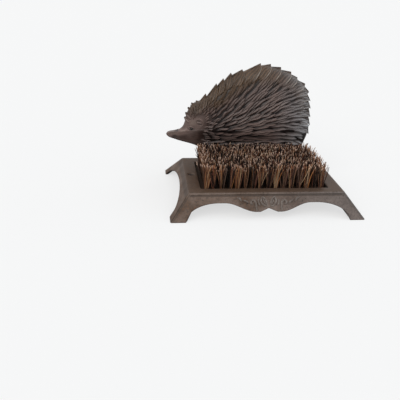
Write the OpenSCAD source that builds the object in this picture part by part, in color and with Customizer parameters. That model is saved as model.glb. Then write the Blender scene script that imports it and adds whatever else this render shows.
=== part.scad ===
// Boot scraper: a footed cast iron frame, a bristle brush in its tray and a hedgehog on its rear rim.
// The origin is on the floor, under the middle of the frame. X runs along it and Y runs to the rear.

/* [Frame] */
// Length over the feet
foot_l = 314; // [296:1:340]
// Depth over the feet
foot_w = 214; // [200:1:240]
// Length of the top plate
plate_l = 254; // [244:1:264]
// Depth of the top plate
plate_w = 154; // [148:1:162]
// Height of the plate's top above the floor
frame_h = 37; // [36:0.5:46]
// Thickness of the top plate
plate_t = 5; // [4:0.5:6]
// Thickness of the sloping apron, measured level
apron_wall = 5.5; // [4:0.5:7]
// Width of the plate's end rims
side_rim = 21; // [19:0.5:24]
// Width of the plate's front rim
front_rim = 17; // [14:0.5:20]
// Width of the plate's rear rim, which carries the hedgehog
rear_rim = 20; // [18:0.5:24]
// Drop of the groove below the plate's top, at the front and the rear
groove_drop = 3.6; // [3:0.1:5]
// Width of that groove
groove_w = 3; // [2:0.1:4]
// Depth of that groove
groove_d = 1.7; // [1:0.1:2]
// Distance from the plate's corners to the groove's ends
groove_end = 3; // [2:0.5:10]

/* [Cut edge of the aprons] */
// Length of a foot along the front and the rear
foot_front = 25; // [18:1:30]
// Length of a foot along the ends
foot_side = 21; // [16:1:28]
// Height of the front arches
arch_h = 23.4; // [18:0.2:25]
// Distance from the middle to where the arch starts to fall to the pendant
arch_in = 70; // [60:1:74]
// Distance from the middle to where the arch starts to fall to the foot
arch_out = 79; // [76:1:90]
// Height of the two lobes of the pendant
lobe_h = 12; // [8:0.5:14]
// Distance from the middle to the low point of a lobe
lobe_x = 19; // [15:1:24]
// Height of the notch between the lobes
notch_h = 16.7; // [14.5:0.1:20]
// Half width of the notch
notch_w = 14; // [8:1:14]
// Height of the arch in the ends
side_arch_h = 24.7; // [18:0.1:26]

/* [Tray] */
// Wall around the tray
tray_wall = 3.5; // [3:0.5:4.5]
// Floor of the tray
tray_floor = 4; // [3:0.5:5]
// Drain hole in each corner of the tray
drain_d = 8; // [5:0.5:10]
// Distance from the tray's walls to a drain hole's centre
drain_in = 8; // [7:0.5:10]
// Screw hole in each end rim, for fixing the frame down
fix_d = 6.6; // [5:0.2:7]
// Countersink of that hole
fix_head_d = 12.6; // [11:0.2:14]

/* [Brush] */
// Depth of the brush's backing below the plate's top
recess = 6; // [4:0.5:8]
// Thickness of the wooden block
block_t = 10; // [9:0.5:13]
// Thickness of the backing slice under each row of tufts
slice_t = 2; // [1.5:0.1:2.5]
// Gap between the block and the tray
block_gap = 1; // [0.5:0.1:2]
// Gap between one slice and the next
slice_gap = 0.1; // [0.1:0.05:0.3]
// Number of tufts in a row
tuft_cols = 16; // [12:2:16]
// Distance from the block's end to the first tuft
tuft_end = 9; // [8:0.5:12]
// Distance from the block's front to the first row
tuft_side = 7; // [6:0.5:9]
// Length of the bristles above their backing
bristle_l = 45; // [35:1:55]
// How much longer the longest strand is than the shortest
bristle_vary = 3; // [0:0.5:5]
// Strand at its root, corner to centre
strand_r = 1.7; // [1.2:0.1:1.7]
// Strand at its tip, corner to centre
strand_tip_r = 1.3; // [0.8:0.1:1.5]
// Distance from a tuft's middle to its strands
strand_ring = 2; // [2:0.1:2.3]
// Gap that the splayed tips leave between one tuft and the next
tuft_gap = 1; // [0.4:0.1:3]
// Diameter of the hole that a tuft is set in
tuft_hole_d = 5.4; // [4:0.1:5.6]
// Depth of that hole
tuft_hole_l = 8; // [6:0.5:8]
// Fit of a tuft's root in its hole
root_gap = 0.1; // [0.05:0.05:0.2]
// Length of a staple
staple_l = 4.2; // [3:0.1:4.4]
// Thickness of a staple
staple_t = 0.6; // [0.4:0.1:0.8]
// Height of a staple
staple_h = 2.6; // [2:0.1:3]

/* [Hedgehog] */
// Length from the nose to the rump
figure_l = 257; // [240:1:262]
// Height of the smooth back above the plate
figure_h = 171.5; // [150:0.5:190]
// Distance from the frame's middle to the nose
nose_reach = 156.5; // [140:0.5:157]
// Half thickness of the body at its fullest
figure_half = 26; // [22:0.5:30]
// Wall of the hollow casting
figure_wall = 6; // [5:0.5:7]
// Height of the bristles' clear space under the swelling of the flank
flank_gap = 1; // [0.5:0.5:4]
// How far the foot of the figure stays inside the rim
base_inset = 0.5; // [0:0.1:1.5]
// Height of the crest's teeth
tooth_h = 4.5; // [2:0.5:5]
// Depth of the notches between them
tooth_root = 1; // [0:0.5:2]
// Height of the coat's ribs above the flank
rib_h = 3.2; // [1:0.2:4]

/* [Fasteners] */
// Diameter of the hedgehog's bolts
bolt_d = 6; // [5:0.5:6]
// Length of a bolt under its head
bolt_l = 20; // [18:1:24]
// Head of a bolt, across the corners
bolt_head_d = 11; // [10:0.5:11.5]
// Height of that head
bolt_head_h = 4; // [3:0.5:5]
// Distance of each bolt from the middle of the figure's foot
bolt_x = 55; // [45:1:65]
// Depth of the bolt's hole in the figure
bolt_hole_l = 18; // [17:1:24]
// Boss around the bolt's hole
boss_d = 16; // [14:0.5:18]
// Clearance around a bolt or a screw where it passes through iron
pass_gap = 0.3; // [0.2:0.05:0.5]
// Fit of a thread in its hole
thread_gap = 0.05; // [0.02:0.01:0.1]
// Diameter of a washer
washer_d = 12; // [11:0.5:12]
// Thickness of a washer
washer_t = 1.2; // [0.8:0.1:1.6]
// Diameter of the block's screws
screw_d = 4; // [3:0.5:4.5]
// How far a screw reaches into the block
screw_in = 7; // [5:0.5:8]
// Head of a screw
screw_head_d = 8; // [7:0.5:9]
// Height of that head
screw_head_h = 2.6; // [2:0.1:3]
// Slot in that head
screw_slot = 1.1; // [0.8:0.1:1.4]

/* [Hidden] */
$fn = 48;
over = 1;
edge_steps = 36;
near = 0.01;
iron = "#6a625b";
dark_iron = "#4f453d";

// The opening in the plate, and the levels of what lies in it
open_l = plate_l - 2 * side_rim;
open_y0 = front_rim - plate_w / 2;
open_y1 = plate_w / 2 - rear_rim;
open_w = open_y1 - open_y0;
open_mid = (open_y0 + open_y1) / 2;
slice_top = frame_h - recess;
block_top = slice_top - slice_t;
tray_z = block_top - block_t;
tray_under = tray_z - tray_floor;

// The apron slopes from the plate's edge to the floor at the feet
flare_x = (foot_l - plate_l) / 2 / frame_h;
flare_y = (foot_w - plate_w) / 2 / frame_h;
function apron_l(z) = plate_l + 2 * flare_x * (frame_h - z);
function apron_w(z) = plate_w + 2 * flare_y * (frame_h - z);

// The block, and the grid of its tufts
rows = 9;
block_l = open_l - 2 * block_gap;
block_w = open_w - 2 * block_gap;
col_pitch = (block_l - 2 * tuft_end) / (tuft_cols - 1);
row_pitch = (block_w - 2 * tuft_side) / (rows - 1);
function col_x(i) = (i - (tuft_cols - 1) / 2) * col_pitch;
function row_y(k) = open_mid + (k - (rows - 1) / 2) * row_pitch;
strands = 3;
seed = 7;
strand_lean = (min(col_pitch, row_pitch) - tuft_gap) / 2 - strand_ring - strand_tip_r;
hole_floor = block_top - tuft_hole_l;
sunk = 0.5;
screw_room = 0.5;

// The screws stand between four tufts, this many tufts apart
screw_cols = 10;
screw_rows = 5;
screw_x = screw_cols * col_pitch / 2;
screw_y = screw_rows * row_pitch / 2;

// The figure stands along the middle of the rear rim
figure_y = plate_w / 2 - rear_rim / 2;
base_half = rear_rim / 2 - base_inset;

// Its outline as drawn, from the front of its foot over the snout and the back to the rear of its foot.
// Each point is the distance behind the nose, the height above the plate, the edge's half thickness and
// the number of crest teeth up to the next point.
outline = [[77, 0, base_half, 0], [66, 15, 8, 0], [54, 28.5, 8, 0], [18, 39.6, 6.5, 0], [4, 44.8, 5, 0],
    [0, 50, 3.5, 0], [3, 55, 5, 0], [20, 57, 6, 0], [28.5, 63.5, 5, 0], [34, 79, 3, 2], [46.5, 102.5, 1.5, 2],
    [71, 118.5, 1.5, 2], [100, 145, 1.5, 2], [131, 160.5, 1.5, 1], [163, 171.5, 1.5, 1], [180, 169.5, 1.5, 2],
    [213, 158.5, 1.5, 2], [240, 138, 2, 2], [252, 114, 2.5, 2], [256, 90, 4, 2], [257, 67, 6, 1],
    [257, 50, 7, 1], [252, 32, 8, 0], [247, 0, base_half, 0]];
drawn_l = max([for (p = outline) p[0]]);
drawn_h = max([for (p = outline) p[1]]);
foot_steps = 16;
heart = [150, 75];
foot_mid = (outline[0][0] + outline[len(outline) - 1][0]) / 2 / drawn_l * figure_l - nose_reach;
boss_cap = 4;

// Share of the full thickness at each distance behind the nose, and at each height above the plate.
// The flank is no thicker than the foot until it is clear of the bristles' tips.
length_share = [[0, 0.2], [10, 0.34], [26, 0.56], [45, 0.76], [75, 0.92], [110, 1], [205, 1], [240, 0.9],
    [257, 0.75]];
foot_share = base_half / figure_half;
slim_top = (slice_top + bristle_l + flank_gap - frame_h) * drawn_h / figure_h;
height_share = [[0, foot_share], [slim_top, foot_share], [slim_top + 10, 0.6], [slim_top + 20, 0.82],
    [slim_top + 38, 1], [drawn_h, 1]];
dome_power = 3;
thinnest = 0.8;

// Where a tooth starts and where its tip stands, as shares of its stretch, and how soon it fades inwards
tooth_start = 0.05;
tooth_tip = 0.9;
tooth_fade = 4;

// The skin's spokes run from the cheek to the edge, the way the coat is combed. Its first ring lies where the
// spokes to the foot pass the bristles' tips.
cheek_up = 8;
cheek = [78, slim_top + cheek_up];
skin_rings = [cheek_up / cheek[1], 0.34, 0.5, 0.64, 0.77, 0.88, 0.95, 1];
hollow_rings = [0.35, 0.65, 0.88, 1];

// The hollow starts behind the head, which is solid
hollow_start = 45;

// How a rib rises along its spoke, and how much of its height is left where it dips. Neighbours dip by turns.
// Ribs to an edge lower than the cheek stand on the rear flank only, because the bristles are in front.
rib_rise = [[0.2, 0], [0.45, 1], [0.95, 1], [1, 0.2]];
rib_dip = 0.4;

// Outline of the figure
function bend(a, b, c, d, t) = ((2 * b) + (c - a) * t + (2 * a - 5 * b + 4 * c - d) * t * t
    + (3 * b - a - 3 * c + d) * t * t * t) / 2;
function key_point(i) = outline[max(0, min(len(outline) - 1, i))];
function on_outline(i, t) = bend(key_point(i - 1), key_point(i), key_point(i + 1), key_point(i + 2), t);
function ahead(i, t) = on_outline(i, t + near) - on_outline(i, t - near);
function outwards(i, t) = let (d = ahead(i, t)) [-d[1], d[0]] / norm([d[0], d[1]]);

// Each step around the edge: the stretch, the place along it, how far a tooth stands out there, and the turn
// of the rib that runs there, which is 1 or 2, or 0 for none
function crest_steps(i, teeth, high, low) = [for (n = [0:teeth - 1]) each
    [[i, (n + tooth_start) / teeth, -low, 0], [i, (n + tooth_tip) / teeth, high, 1 + (teeth * i + n) % 2]]];
function back_steps(high, low) = [for (i = [0:len(outline) - 2]) each
    outline[i][3] > 0 ? crest_steps(i, outline[i][3], high, low)
    : [[i, 0, 0, 0], [i, 0.5, 0, outline[i][0] > heart[0] ? 1 : 0]]];

// Points of the edge: place, height, half thickness, the tooth's reach along and up, and the rib's turn
function back_edge(high, low) = [for (s = back_steps(high, low)) let (p = on_outline(s[0], s[1]),
    n = outwards(s[0], s[1]) * s[2]) [p[0], p[1], p[2], n[0], n[1], s[3]]];
function foot_edge() = let (a = outline[len(outline) - 1], b = outline[0]) [for (i = [0:foot_steps - 1])
    [a[0] + (b[0] - a[0]) * i / foot_steps, 0, base_half, 0, 0, i % 2 == 0 ? 0 : 1 + (i - 1) / 2 % 2]];
function edge_points(high, low) = concat(back_edge(high, low), foot_edge());
hollow_edge = [for (e = edge_points(0, 0)) if (e[0] > hollow_start) e];
function flat(e) = [e[0], e[1]];

// How far out a place lies between the heart and the edge, and the half thickness of the smooth body there
function turn_of(p) = let (a = atan2(p[1] - heart[1], p[0] - heart[0])) a < -90 ? a + 360 : a;
edge_reach = [for (e = edge_points(0, 0)) [turn_of(e), norm(flat(e) - heart)]];
edge_half = [for (e = edge_points(0, 0)) [turn_of(e), e[2]]];
function share_at(p) = min(1, norm(p - heart) / lookup(turn_of(p), edge_reach));
function full_half(p) = figure_half * lookup(p[0], length_share) * lookup(p[1], height_share);
function body_half(p) = let (edge = lookup(turn_of(p), edge_half)) edge + (max(full_half(p), edge) - edge)
    * sqrt(1 - pow(share_at(p), dome_power));

// A solid between two domed sheets. Its spokes run from its middle to the edge and its rings lie at shares of
// the way, reach draws the whole in towards the middle, thinner takes that much off each side, rib is the
// height of the ribs and foot_drop sinks the foot.
module domed(middle, edge, shares, reach, thinner, rib, foot_drop) {
    m = len(edge);
    n = len(shares);
    function between(e, s) = middle + (flat(e) - middle) * s * reach;
    function place(e, s) = let (p = between(e, s), drop = (e[1] <= 0 && s == 1) ? foot_drop : 0)
        [p[0] + e[3] * pow(s, tooth_fade), drop == 0 ? p[1] + e[4] * pow(s, tooth_fade) : -drop];
    function bare(e, r, side) = e[5] == 0 || (side < 0 && e[1] < middle[1]) || (e[1] <= 0 && r == n - 1);
    function lift(e, r, side) = bare(e, r, side) ? 0
        : rib * lookup(shares[r], rib_rise) * ((e[5] + r) % 2 == 0 ? 1 : rib_dip);
    function half(e, s) = max(body_half(between(e, s)) - thinner, thinnest);
    function point(p, offset) = [p[0] / drawn_l * figure_l - nose_reach, figure_y + offset,
        frame_h + p[1] / drawn_h * figure_h];
    function at(side, r, j) = side * n * m + r * m + j % m;
    points = concat([for (side = [-1, 1]) for (r = [0:n - 1]) for (e = edge)
            point(place(e, shares[r]), side * (half(e, shares[r]) + lift(e, r, side)))],
        [for (side = [-1, 1]) point(middle, side * (body_half(middle) - thinner))]);
    front = len(points) - 2;
    rear = len(points) - 1;
    faces = [for (j = [0:m - 1]) each concat(
        [[front, at(0, 0, j), at(0, 0, j + 1)], [rear, at(1, 0, j + 1), at(1, 0, j)]],
        [for (r = [0:n - 2]) each [[at(0, r, j), at(0, r + 1, j), at(0, r + 1, j + 1)],
            [at(0, r, j), at(0, r + 1, j + 1), at(0, r, j + 1)],
            [at(1, r, j), at(1, r + 1, j + 1), at(1, r + 1, j)],
            [at(1, r, j), at(1, r, j + 1), at(1, r + 1, j + 1)]]],
        [[at(0, n - 1, j), at(1, n - 1, j), at(1, n - 1, j + 1)],
            [at(0, n - 1, j), at(1, n - 1, j + 1), at(0, n - 1, j + 1)]])];
    polyhedron(points, faces);
}

// Frame

module tapered_box(z0, l0, w0, z1, l1, w1) {
    points = concat([for (c = [[-1, -1], [1, -1], [1, 1], [-1, 1]]) [c[0] * l0 / 2, c[1] * w0 / 2, z0]],
        [for (c = [[-1, -1], [1, -1], [1, 1], [-1, 1]]) [c[0] * l1 / 2, c[1] * w1 / 2, z1]]);
    polyhedron(points, [[0, 1, 2, 3], [7, 6, 5, 4], [0, 4, 5, 1], [1, 5, 6, 2], [2, 6, 7, 3], [3, 7, 4, 0]]);
}

module apron_shell() {
    top = frame_h - plate_t;
    difference() {
        tapered_box(0, foot_l, foot_w, frame_h, plate_l, plate_w);
        tapered_box(-over, apron_l(-over) - 2 * apron_wall, apron_w(-over) - 2 * apron_wall,
            top, apron_l(top) - 2 * apron_wall, apron_w(top) - 2 * apron_wall);
    }
}

// Lower edge of the front and rear aprons, at a distance from the middle
function front_edge(x) = let (foot = foot_l / 2 - foot_front)
    x >= arch_out ? arch_h * sqrt(max(0, 1 - pow((x - arch_out) / (foot - arch_out), 2)))
    : x >= arch_in ? arch_h
    : x >= lobe_x ? lobe_h + (arch_h - lobe_h) * (1 - cos(180 * (x - lobe_x) / (arch_in - lobe_x))) / 2
    : x >= notch_w ? lobe_h
    : notch_h - (notch_h - lobe_h) * x / notch_w;
function side_edge(y) = let (foot = foot_w / 2 - foot_side)
    side_arch_h * sqrt(max(0, 1 - pow(y / foot, 2)));

// Area to cut away under an edge that is mirrored about the middle
module cut_area(edge) {
    last = edge[len(edge) - 1];
    polygon(concat([[-last[0], -over]], [for (i = [len(edge) - 1:-1:1]) [-edge[i][0], edge[i][1]]],
        edge, [[last[0], -over]]));
}

module apron_cuts() {
    front_half = foot_l / 2 - foot_front;
    side_half = foot_w / 2 - foot_side;
    rotate([90, 0, 0]) linear_extrude(foot_w + 2 * over, center = true)
        cut_area([for (i = [0:edge_steps]) let (x = front_half * i / edge_steps) [x, front_edge(x)]]);
    rotate([90, 0, 90]) linear_extrude(foot_l + 2 * over, center = true)
        cut_area([for (i = [0:edge_steps]) let (y = side_half * i / edge_steps) [y, side_edge(y)]]);
}

// Straight grooves in the slopes of the front and rear aprons
module grooves() {
    z = frame_h - groove_drop;
    for (side = [-1, 1]) translate([0, side * apron_w(z) / 2, z]) rotate([side * atan(flare_y), 0, 0])
        cube([plate_l - 2 * groove_end, 2 * groove_d, groove_w], center = true);
}

module tray() {
    translate([-open_l / 2 - tray_wall, open_y0 - tray_wall, tray_under])
        cube([open_l + 2 * tray_wall, open_w + 2 * tray_wall, frame_h - plate_t - tray_under]);
}

module at_fixing_holes() {
    for (side = [-1, 1]) translate([side * (plate_l - side_rim) / 2, 0, 0]) children();
}

module at_bolts() {
    for (side = [-1, 1]) translate([foot_mid + side * bolt_x, figure_y, 0]) children();
}

module at_screws() {
    for (sx = [-1, 1]) for (sy = [-1, 1]) translate([sx * screw_x, open_mid + sy * screw_y, 0]) children();
}

module at_drains() {
    for (sx = [-1, 1]) for (y = [open_y0 + drain_in, open_y1 - drain_in])
        translate([sx * (open_l / 2 - drain_in), y, 0]) children();
}

// Countersunk hole through the plate
module fixing_hole() {
    sink = (fix_head_d - fix_d) / 2;
    translate([0, 0, frame_h - plate_t - over]) cylinder(d = fix_d, h = plate_t + 2 * over);
    translate([0, 0, frame_h - sink]) cylinder(d1 = fix_d, d2 = fix_head_d, h = sink);
}

module base_frame() color(iron) difference() {
    union() {
        difference() {
            apron_shell();
            apron_cuts();
            grooves();
        }
        tray();
    }
    translate([-open_l / 2, open_y0, tray_z]) cube([open_l, open_w, frame_h]);
    at_fixing_holes() fixing_hole();
    at_bolts() translate([0, 0, frame_h - plate_t - over])
        cylinder(d = bolt_d + 2 * pass_gap, h = plate_t + 2 * over);
    at_bolts() translate([0, 0, tray_under])
        cylinder(d = washer_d + 2 * pass_gap, h = frame_h - plate_t - tray_under);
    at_screws() translate([0, 0, tray_under - over])
        cylinder(d = screw_d + 2 * pass_gap, h = tray_floor + 2 * over);
    at_drains() translate([0, 0, tray_under - over]) cylinder(d = drain_d, h = tray_floor + 2 * over);
}

// Hedgehog

module bolt_bosses() {
    at_bolts() translate([0, 0, frame_h - 2 * over])
        cylinder(d = boss_d, h = bolt_hole_l + boss_cap + 2 * over);
}

module hedgehog() color(dark_iron) difference() {
    domed(cheek, edge_points(tooth_h, tooth_root), skin_rings, 1, 0, rib_h, 0);
    difference() {
        domed(heart, hollow_edge, hollow_rings, 1 - 2 * figure_wall / figure_h, figure_wall, 0, over);
        bolt_bosses();
    }
    at_bolts() translate([0, 0, frame_h - over])
        cylinder(d = bolt_d + 2 * thread_gap, h = bolt_hole_l + over);
}

// Brush

module brush_block() color("saddlebrown") difference() {
    translate([-block_l / 2, open_mid - block_w / 2, tray_z]) cube([block_l, block_w, block_t]);
    for (k = [0:rows - 1]) for (i = [0:tuft_cols - 1]) translate([col_x(i), row_y(k), hole_floor])
        cylinder(d = tuft_hole_d, h = tuft_hole_l + over);
    at_screws() translate([0, 0, tray_z - over])
        cylinder(d = screw_d + 2 * thread_gap, h = screw_in + screw_room + over);
}

// One strand, a three-sided taper that leans away from its tuft's middle
module strand(turn, length) {
    way = [cos(turn), sin(turn)];
    corners = [for (a = [0:120:240]) [cos(turn + a), sin(turn + a)]];
    root = [for (c = corners) concat(way * strand_ring + strand_r * c, [-sunk])];
    tip = [for (c = corners) concat(way * (strand_ring + strand_lean) + strand_tip_r * c, [length])];
    polyhedron(concat(root, tip), [[0, 1, 2], [3, 5, 4], [0, 3, 4], [0, 4, 1], [1, 4, 5], [1, 5, 2],
        [2, 5, 3], [2, 3, 0]]);
}

module tuft(k, i) {
    luck = rands(0, 1, 1 + strands, seed + k * tuft_cols + i);
    for (s = [0:strands - 1]) strand(360 * (luck[0] + s) / strands, bristle_l - bristle_vary * luck[1 + s]);
}

// A row of tufts with its slice of the backing and its roots in the block's holes
module bristle_row(k) color("peru") {
    front = k == 0 ? open_mid - block_w / 2 : row_y(k) - row_pitch / 2 + slice_gap / 2;
    rear = k == rows - 1 ? open_mid + block_w / 2 : row_y(k) + row_pitch / 2 - slice_gap / 2;
    root_l = tuft_hole_l - staple_h - root_gap;
    translate([-block_l / 2, front, block_top]) cube([block_l, rear - front, slice_t]);
    for (i = [0:tuft_cols - 1]) translate([col_x(i), row_y(k), 0]) {
        translate([0, 0, slice_top]) tuft(k, i);
        translate([0, 0, block_top - root_l])
            cylinder(d = tuft_hole_d - 2 * root_gap, h = root_l + slice_t / 2);
    }
}

module tuft_staples() color("silver") {
    for (k = [0:rows - 1]) for (i = [0:tuft_cols - 1])
        translate([col_x(i) - staple_l / 2, row_y(k) - staple_t / 2, hole_floor])
            cube([staple_l, staple_t, staple_h]);
}

// Fasteners

module block_screws() color("silver") at_screws() difference() {
    union() {
        translate([0, 0, tray_under - screw_head_h]) cylinder(d = screw_head_d, h = screw_head_h);
        translate([0, 0, tray_under - over]) cylinder(d = screw_d, h = tray_floor + screw_in + over);
    }
    translate([-screw_head_d, -screw_slot / 2, tray_under - screw_head_h - over])
        cube([2 * screw_head_d, screw_slot, screw_head_h / 2 + over]);
}

module hedgehog_bolts() color("silver") at_bolts() {
    seat = frame_h - plate_t - washer_t;
    translate([0, 0, seat - bolt_head_h]) cylinder(d = bolt_head_d, h = bolt_head_h, $fn = 6);
    translate([0, 0, seat - over]) cylinder(d = bolt_d, h = bolt_l + over);
}

module hedgehog_washers() color("silver") at_bolts() difference() {
    translate([0, 0, frame_h - plate_t - washer_t]) cylinder(d = washer_d, h = washer_t);
    translate([0, 0, frame_h - plate_t - washer_t - over])
        cylinder(d = bolt_d + 2 * pass_gap, h = washer_t + 2 * over);
}

base_frame();
hedgehog();
brush_block();
for (k = [0:rows - 1]) bristle_row(k);
tuft_staples();
block_screws();
hedgehog_bolts();
hedgehog_washers();
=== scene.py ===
import math

import bmesh
import bpy
import numpy as np
from mathutils import Matrix, Vector


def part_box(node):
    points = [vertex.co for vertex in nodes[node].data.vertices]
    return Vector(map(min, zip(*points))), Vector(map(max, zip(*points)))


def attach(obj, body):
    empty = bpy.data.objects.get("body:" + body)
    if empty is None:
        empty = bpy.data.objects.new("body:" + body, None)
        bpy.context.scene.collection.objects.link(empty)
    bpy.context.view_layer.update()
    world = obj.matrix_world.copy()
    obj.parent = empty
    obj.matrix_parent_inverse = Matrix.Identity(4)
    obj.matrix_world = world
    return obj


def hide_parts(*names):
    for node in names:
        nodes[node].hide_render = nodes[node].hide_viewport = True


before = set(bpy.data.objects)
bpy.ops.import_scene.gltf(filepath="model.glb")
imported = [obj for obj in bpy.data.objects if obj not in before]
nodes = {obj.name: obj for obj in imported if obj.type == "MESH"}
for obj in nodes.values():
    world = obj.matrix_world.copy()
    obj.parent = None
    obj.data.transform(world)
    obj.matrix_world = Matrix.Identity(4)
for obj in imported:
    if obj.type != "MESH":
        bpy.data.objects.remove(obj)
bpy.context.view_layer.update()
mm = 0.001
scene = bpy.context.scene
scene.view_settings.view_transform = "Standard"


# Small helpers

def boxMm(node):
    low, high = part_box(node)
    return np.array(low) / mm, np.array(high) / mm


def linked(name, data):
    thing = bpy.data.objects.new(name, data)
    scene.collection.objects.link(thing)
    return thing


def meshObject(name, points, faces, edges=()):
    mesh = bpy.data.meshes.new(name)
    mesh.from_pydata([tuple(p) for p in points], list(edges), [tuple(int(i) for i in f) for f in faces])
    mesh.validate()
    return linked(name, mesh)


def fromBmesh(name, work):
    mesh = bpy.data.meshes.new(name)
    work.to_mesh(mesh)
    work.free()
    return linked(name, mesh)


def outward(thing, weld=1e-6):
    # welds points that coincide and turns the faces outwards
    work = bmesh.new()
    work.from_mesh(thing.data)
    bmesh.ops.remove_doubles(work, verts=work.verts, dist=weld)
    bmesh.ops.recalc_face_normals(work, faces=work.faces)
    work.to_mesh(thing.data)
    work.free()


def smooth(thing, angle):
    thing.data.polygons.foreach_set("use_smooth", [True] * len(thing.data.polygons))
    thing.data.set_sharp_from_angle(angle=math.radians(angle))


def pointsOf(thing):
    co = np.zeros(len(thing.data.vertices) * 3, np.float32)
    thing.data.vertices.foreach_get("co", co)
    return co.reshape(-1, 3).astype(float)


def setAttribute(thing, name, values):
    layer = thing.data.attributes.get(name) or thing.data.attributes.new(name, "FLOAT", "POINT")
    layer.data.foreach_set("value", np.asarray(values, np.float32))


def attributeOf(thing, name):
    values = np.zeros(len(thing.data.vertices), np.float32)
    thing.data.attributes[name].data.foreach_get("value", values)
    return values.astype(float)


def applied(thing):
    # turns the modifiers' result into the object's own plain mesh
    graph = bpy.context.evaluated_depsgraph_get()
    mesh = bpy.data.meshes.new_from_object(thing.evaluated_get(graph), depsgraph=graph)
    thing.modifiers.clear()
    old = thing.data
    thing.data = mesh
    bpy.data.meshes.remove(old)
    mesh.name = thing.name
    return thing


def joined(things, name):
    with bpy.context.temp_override(active_object=things[0], selected_editable_objects=things):
        bpy.ops.object.join()
    things[0].name = name
    things[0].data.name = name
    return things[0]


def dress(thing, material):
    thing.data.materials.clear()
    thing.data.materials.append(material)


def finishPiece(thing, slot, *replaced):
    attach(thing, "root")
    if replaced:
        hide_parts(*replaced)
    print(thing.name, len(thing.data.polygons), "faces")


def ease(value, start, end):
    t = np.clip((value - start) / (end - start), 0, 1)
    return t * t * (3 - 2 * t)


def fromKeys(keys, value):
    return np.interp(value, *zip(*keys))


def mound(x, z, middleX, middleZ, wide, high):
    # one in the middle, falling softly to nought
    return np.exp(-((x - middleX) / wide) ** 2 - ((z - middleZ) / high) ** 2)


def ringFaces(rings, count, start=0):
    # quads between closed rings of points that follow each other
    faces = []
    for k in range(rings - 1):
        low, high = start + k * count, start + (k + 1) * count
        for i in range(count):
            j = (i + 1) % count
            faces.append((low + i, low + j, high + j, high + i))
    return faces


class NodeGraph:
    # adds nodes to a tree and hands back what the next node needs
    def __init__(self, tree):
        self.tree = tree

    def feed(self, socket, value):
        if isinstance(value, bpy.types.NodeSocket):
            self.tree.links.new(value, socket)
        else:
            socket.default_value = value

    def put(self, kind, sockets=None, **settings):
        node = self.tree.nodes.new(kind)
        for name, value in settings.items():
            setattr(node, name, value)
        for name, value in (sockets or {}).items():
            self.feed(node.inputs[name], value)
        return node

    def out(self, kind, sockets=None, **settings):
        return self.put(kind, sockets, **settings).outputs[0]

    def math(self, operation, *values):
        return self.out("ShaderNodeMath", dict(enumerate(values)), operation=operation)

    def vector(self, operation, first, second):
        spot = 3 if operation == "SCALE" else 1
        return self.out("ShaderNodeVectorMath", {0: first, spot: second}, operation=operation)

    def axis(self, name, vector):
        return self.put("ShaderNodeSeparateXYZ", {0: vector}).outputs[name]

    def combined(self, **parts):
        return self.out("ShaderNodeCombineXYZ", parts)

    def spread(self, value, low, high, toLow=0.0, toHigh=1.0):
        sockets = {"Value": value, "From Min": low, "From Max": high, "To Min": toLow, "To Max": toHigh}
        return self.put("ShaderNodeMapRange", sockets).outputs["Result"]

    def noise(self, where, scale, detail=4.0, rough=0.55):
        sockets = {"Vector": where, "Scale": scale, "Detail": detail, "Roughness": rough}
        return self.put("ShaderNodeTexNoise", sockets).outputs["Fac"]

    def mixed(self, share, first, second):
        return self.out("ShaderNodeMix", {0: share, 2: first, 3: second})

    # for materials

    def attribute(self, name):
        return self.put("ShaderNodeAttribute", attribute_name=name).outputs["Fac"]

    def ramp(self, factor, stops):
        # each stop has a place and a colour, or a place and one number for a grey
        node = self.put("ShaderNodeValToRGB", {"Fac": factor})
        bar = node.color_ramp.elements
        while len(bar) < len(stops):
            bar.new(0.5)
        for element, (place, value) in zip(bar, stops):
            element.position = place
            element.color = (*value, 1) if isinstance(value, tuple) else (value, value, value, 1)
        return node.outputs["Color"]

    def tinted(self, share, colour, tint):
        # a colour with this share of a plain tint
        sockets = {0: share, 6: colour, 7: (*tint, 1)}
        return self.put("ShaderNodeMix", sockets, data_type="RGBA").outputs[2]

    def coat(self, shader, colour, roughness, bumps):
        # each bump has a height, a strength and a distance
        self.feed(shader.inputs["Base Color"], colour)
        self.feed(shader.inputs["Roughness"], roughness)
        into = shader.inputs["Normal"]
        for height, strength, distance in reversed(bumps):
            sockets = {"Height": height, "Strength": strength, "Distance": distance}
            node = self.put("ShaderNodeBump", sockets)
            self.feed(into, node.outputs["Normal"])
            into = node.inputs["Normal"]

    # for geometry

    def named(self, name, kind="FLOAT"):
        node = self.put("GeometryNodeInputNamedAttribute", {"Name": name}, data_type=kind)
        return node.outputs["Attribute"]

    def store(self, shape, name, value, kind="FLOAT", domain="POINT"):
        sockets = {"Geometry": shape, "Name": name, "Value": value}
        return self.out("GeometryNodeStoreNamedAttribute", sockets, data_type=kind, domain=domain)

    def random(self, low, high, seed, index=None):
        # a number, or a vector where the limits are vectors
        isVector = isinstance(low, tuple)
        lowSpot, highSpot, outSpot = (0, 1, 0) if isVector else (2, 3, 1)
        sockets = {lowSpot: low, highSpot: high, "Seed": seed}
        if index is not None:
            sockets["ID"] = index
        kind = "FLOAT_VECTOR" if isVector else "FLOAT"
        return self.put("FunctionNodeRandomValue", sockets, data_type=kind).outputs[outSpot]


# Materials

def cleared(owner):
    owner.use_nodes = True
    owner.node_tree.nodes.clear()
    return NodeGraph(owner.node_tree)


def newMaterial(name, specular=None):
    material = bpy.data.materials.new(name)
    graph = cleared(material)
    shader = graph.put("ShaderNodeBsdfPrincipled")
    if specular is not None:
        shader.inputs["Specular IOR Level"].default_value = specular
    graph.put("ShaderNodeOutputMaterial", {"Surface": shader.outputs[0]})
    where = graph.put("ShaderNodeTexCoord").outputs["Object"]
    return material, graph, shader, where


def ironNoises(graph, where, scales):
    # broad patches, specks and a fine grain
    settings = ((5, 0.55), (5, 0.65), (3, 0.6))
    return [graph.noise(where, scale, *setting) for scale, setting in zip(scales, settings)]


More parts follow.
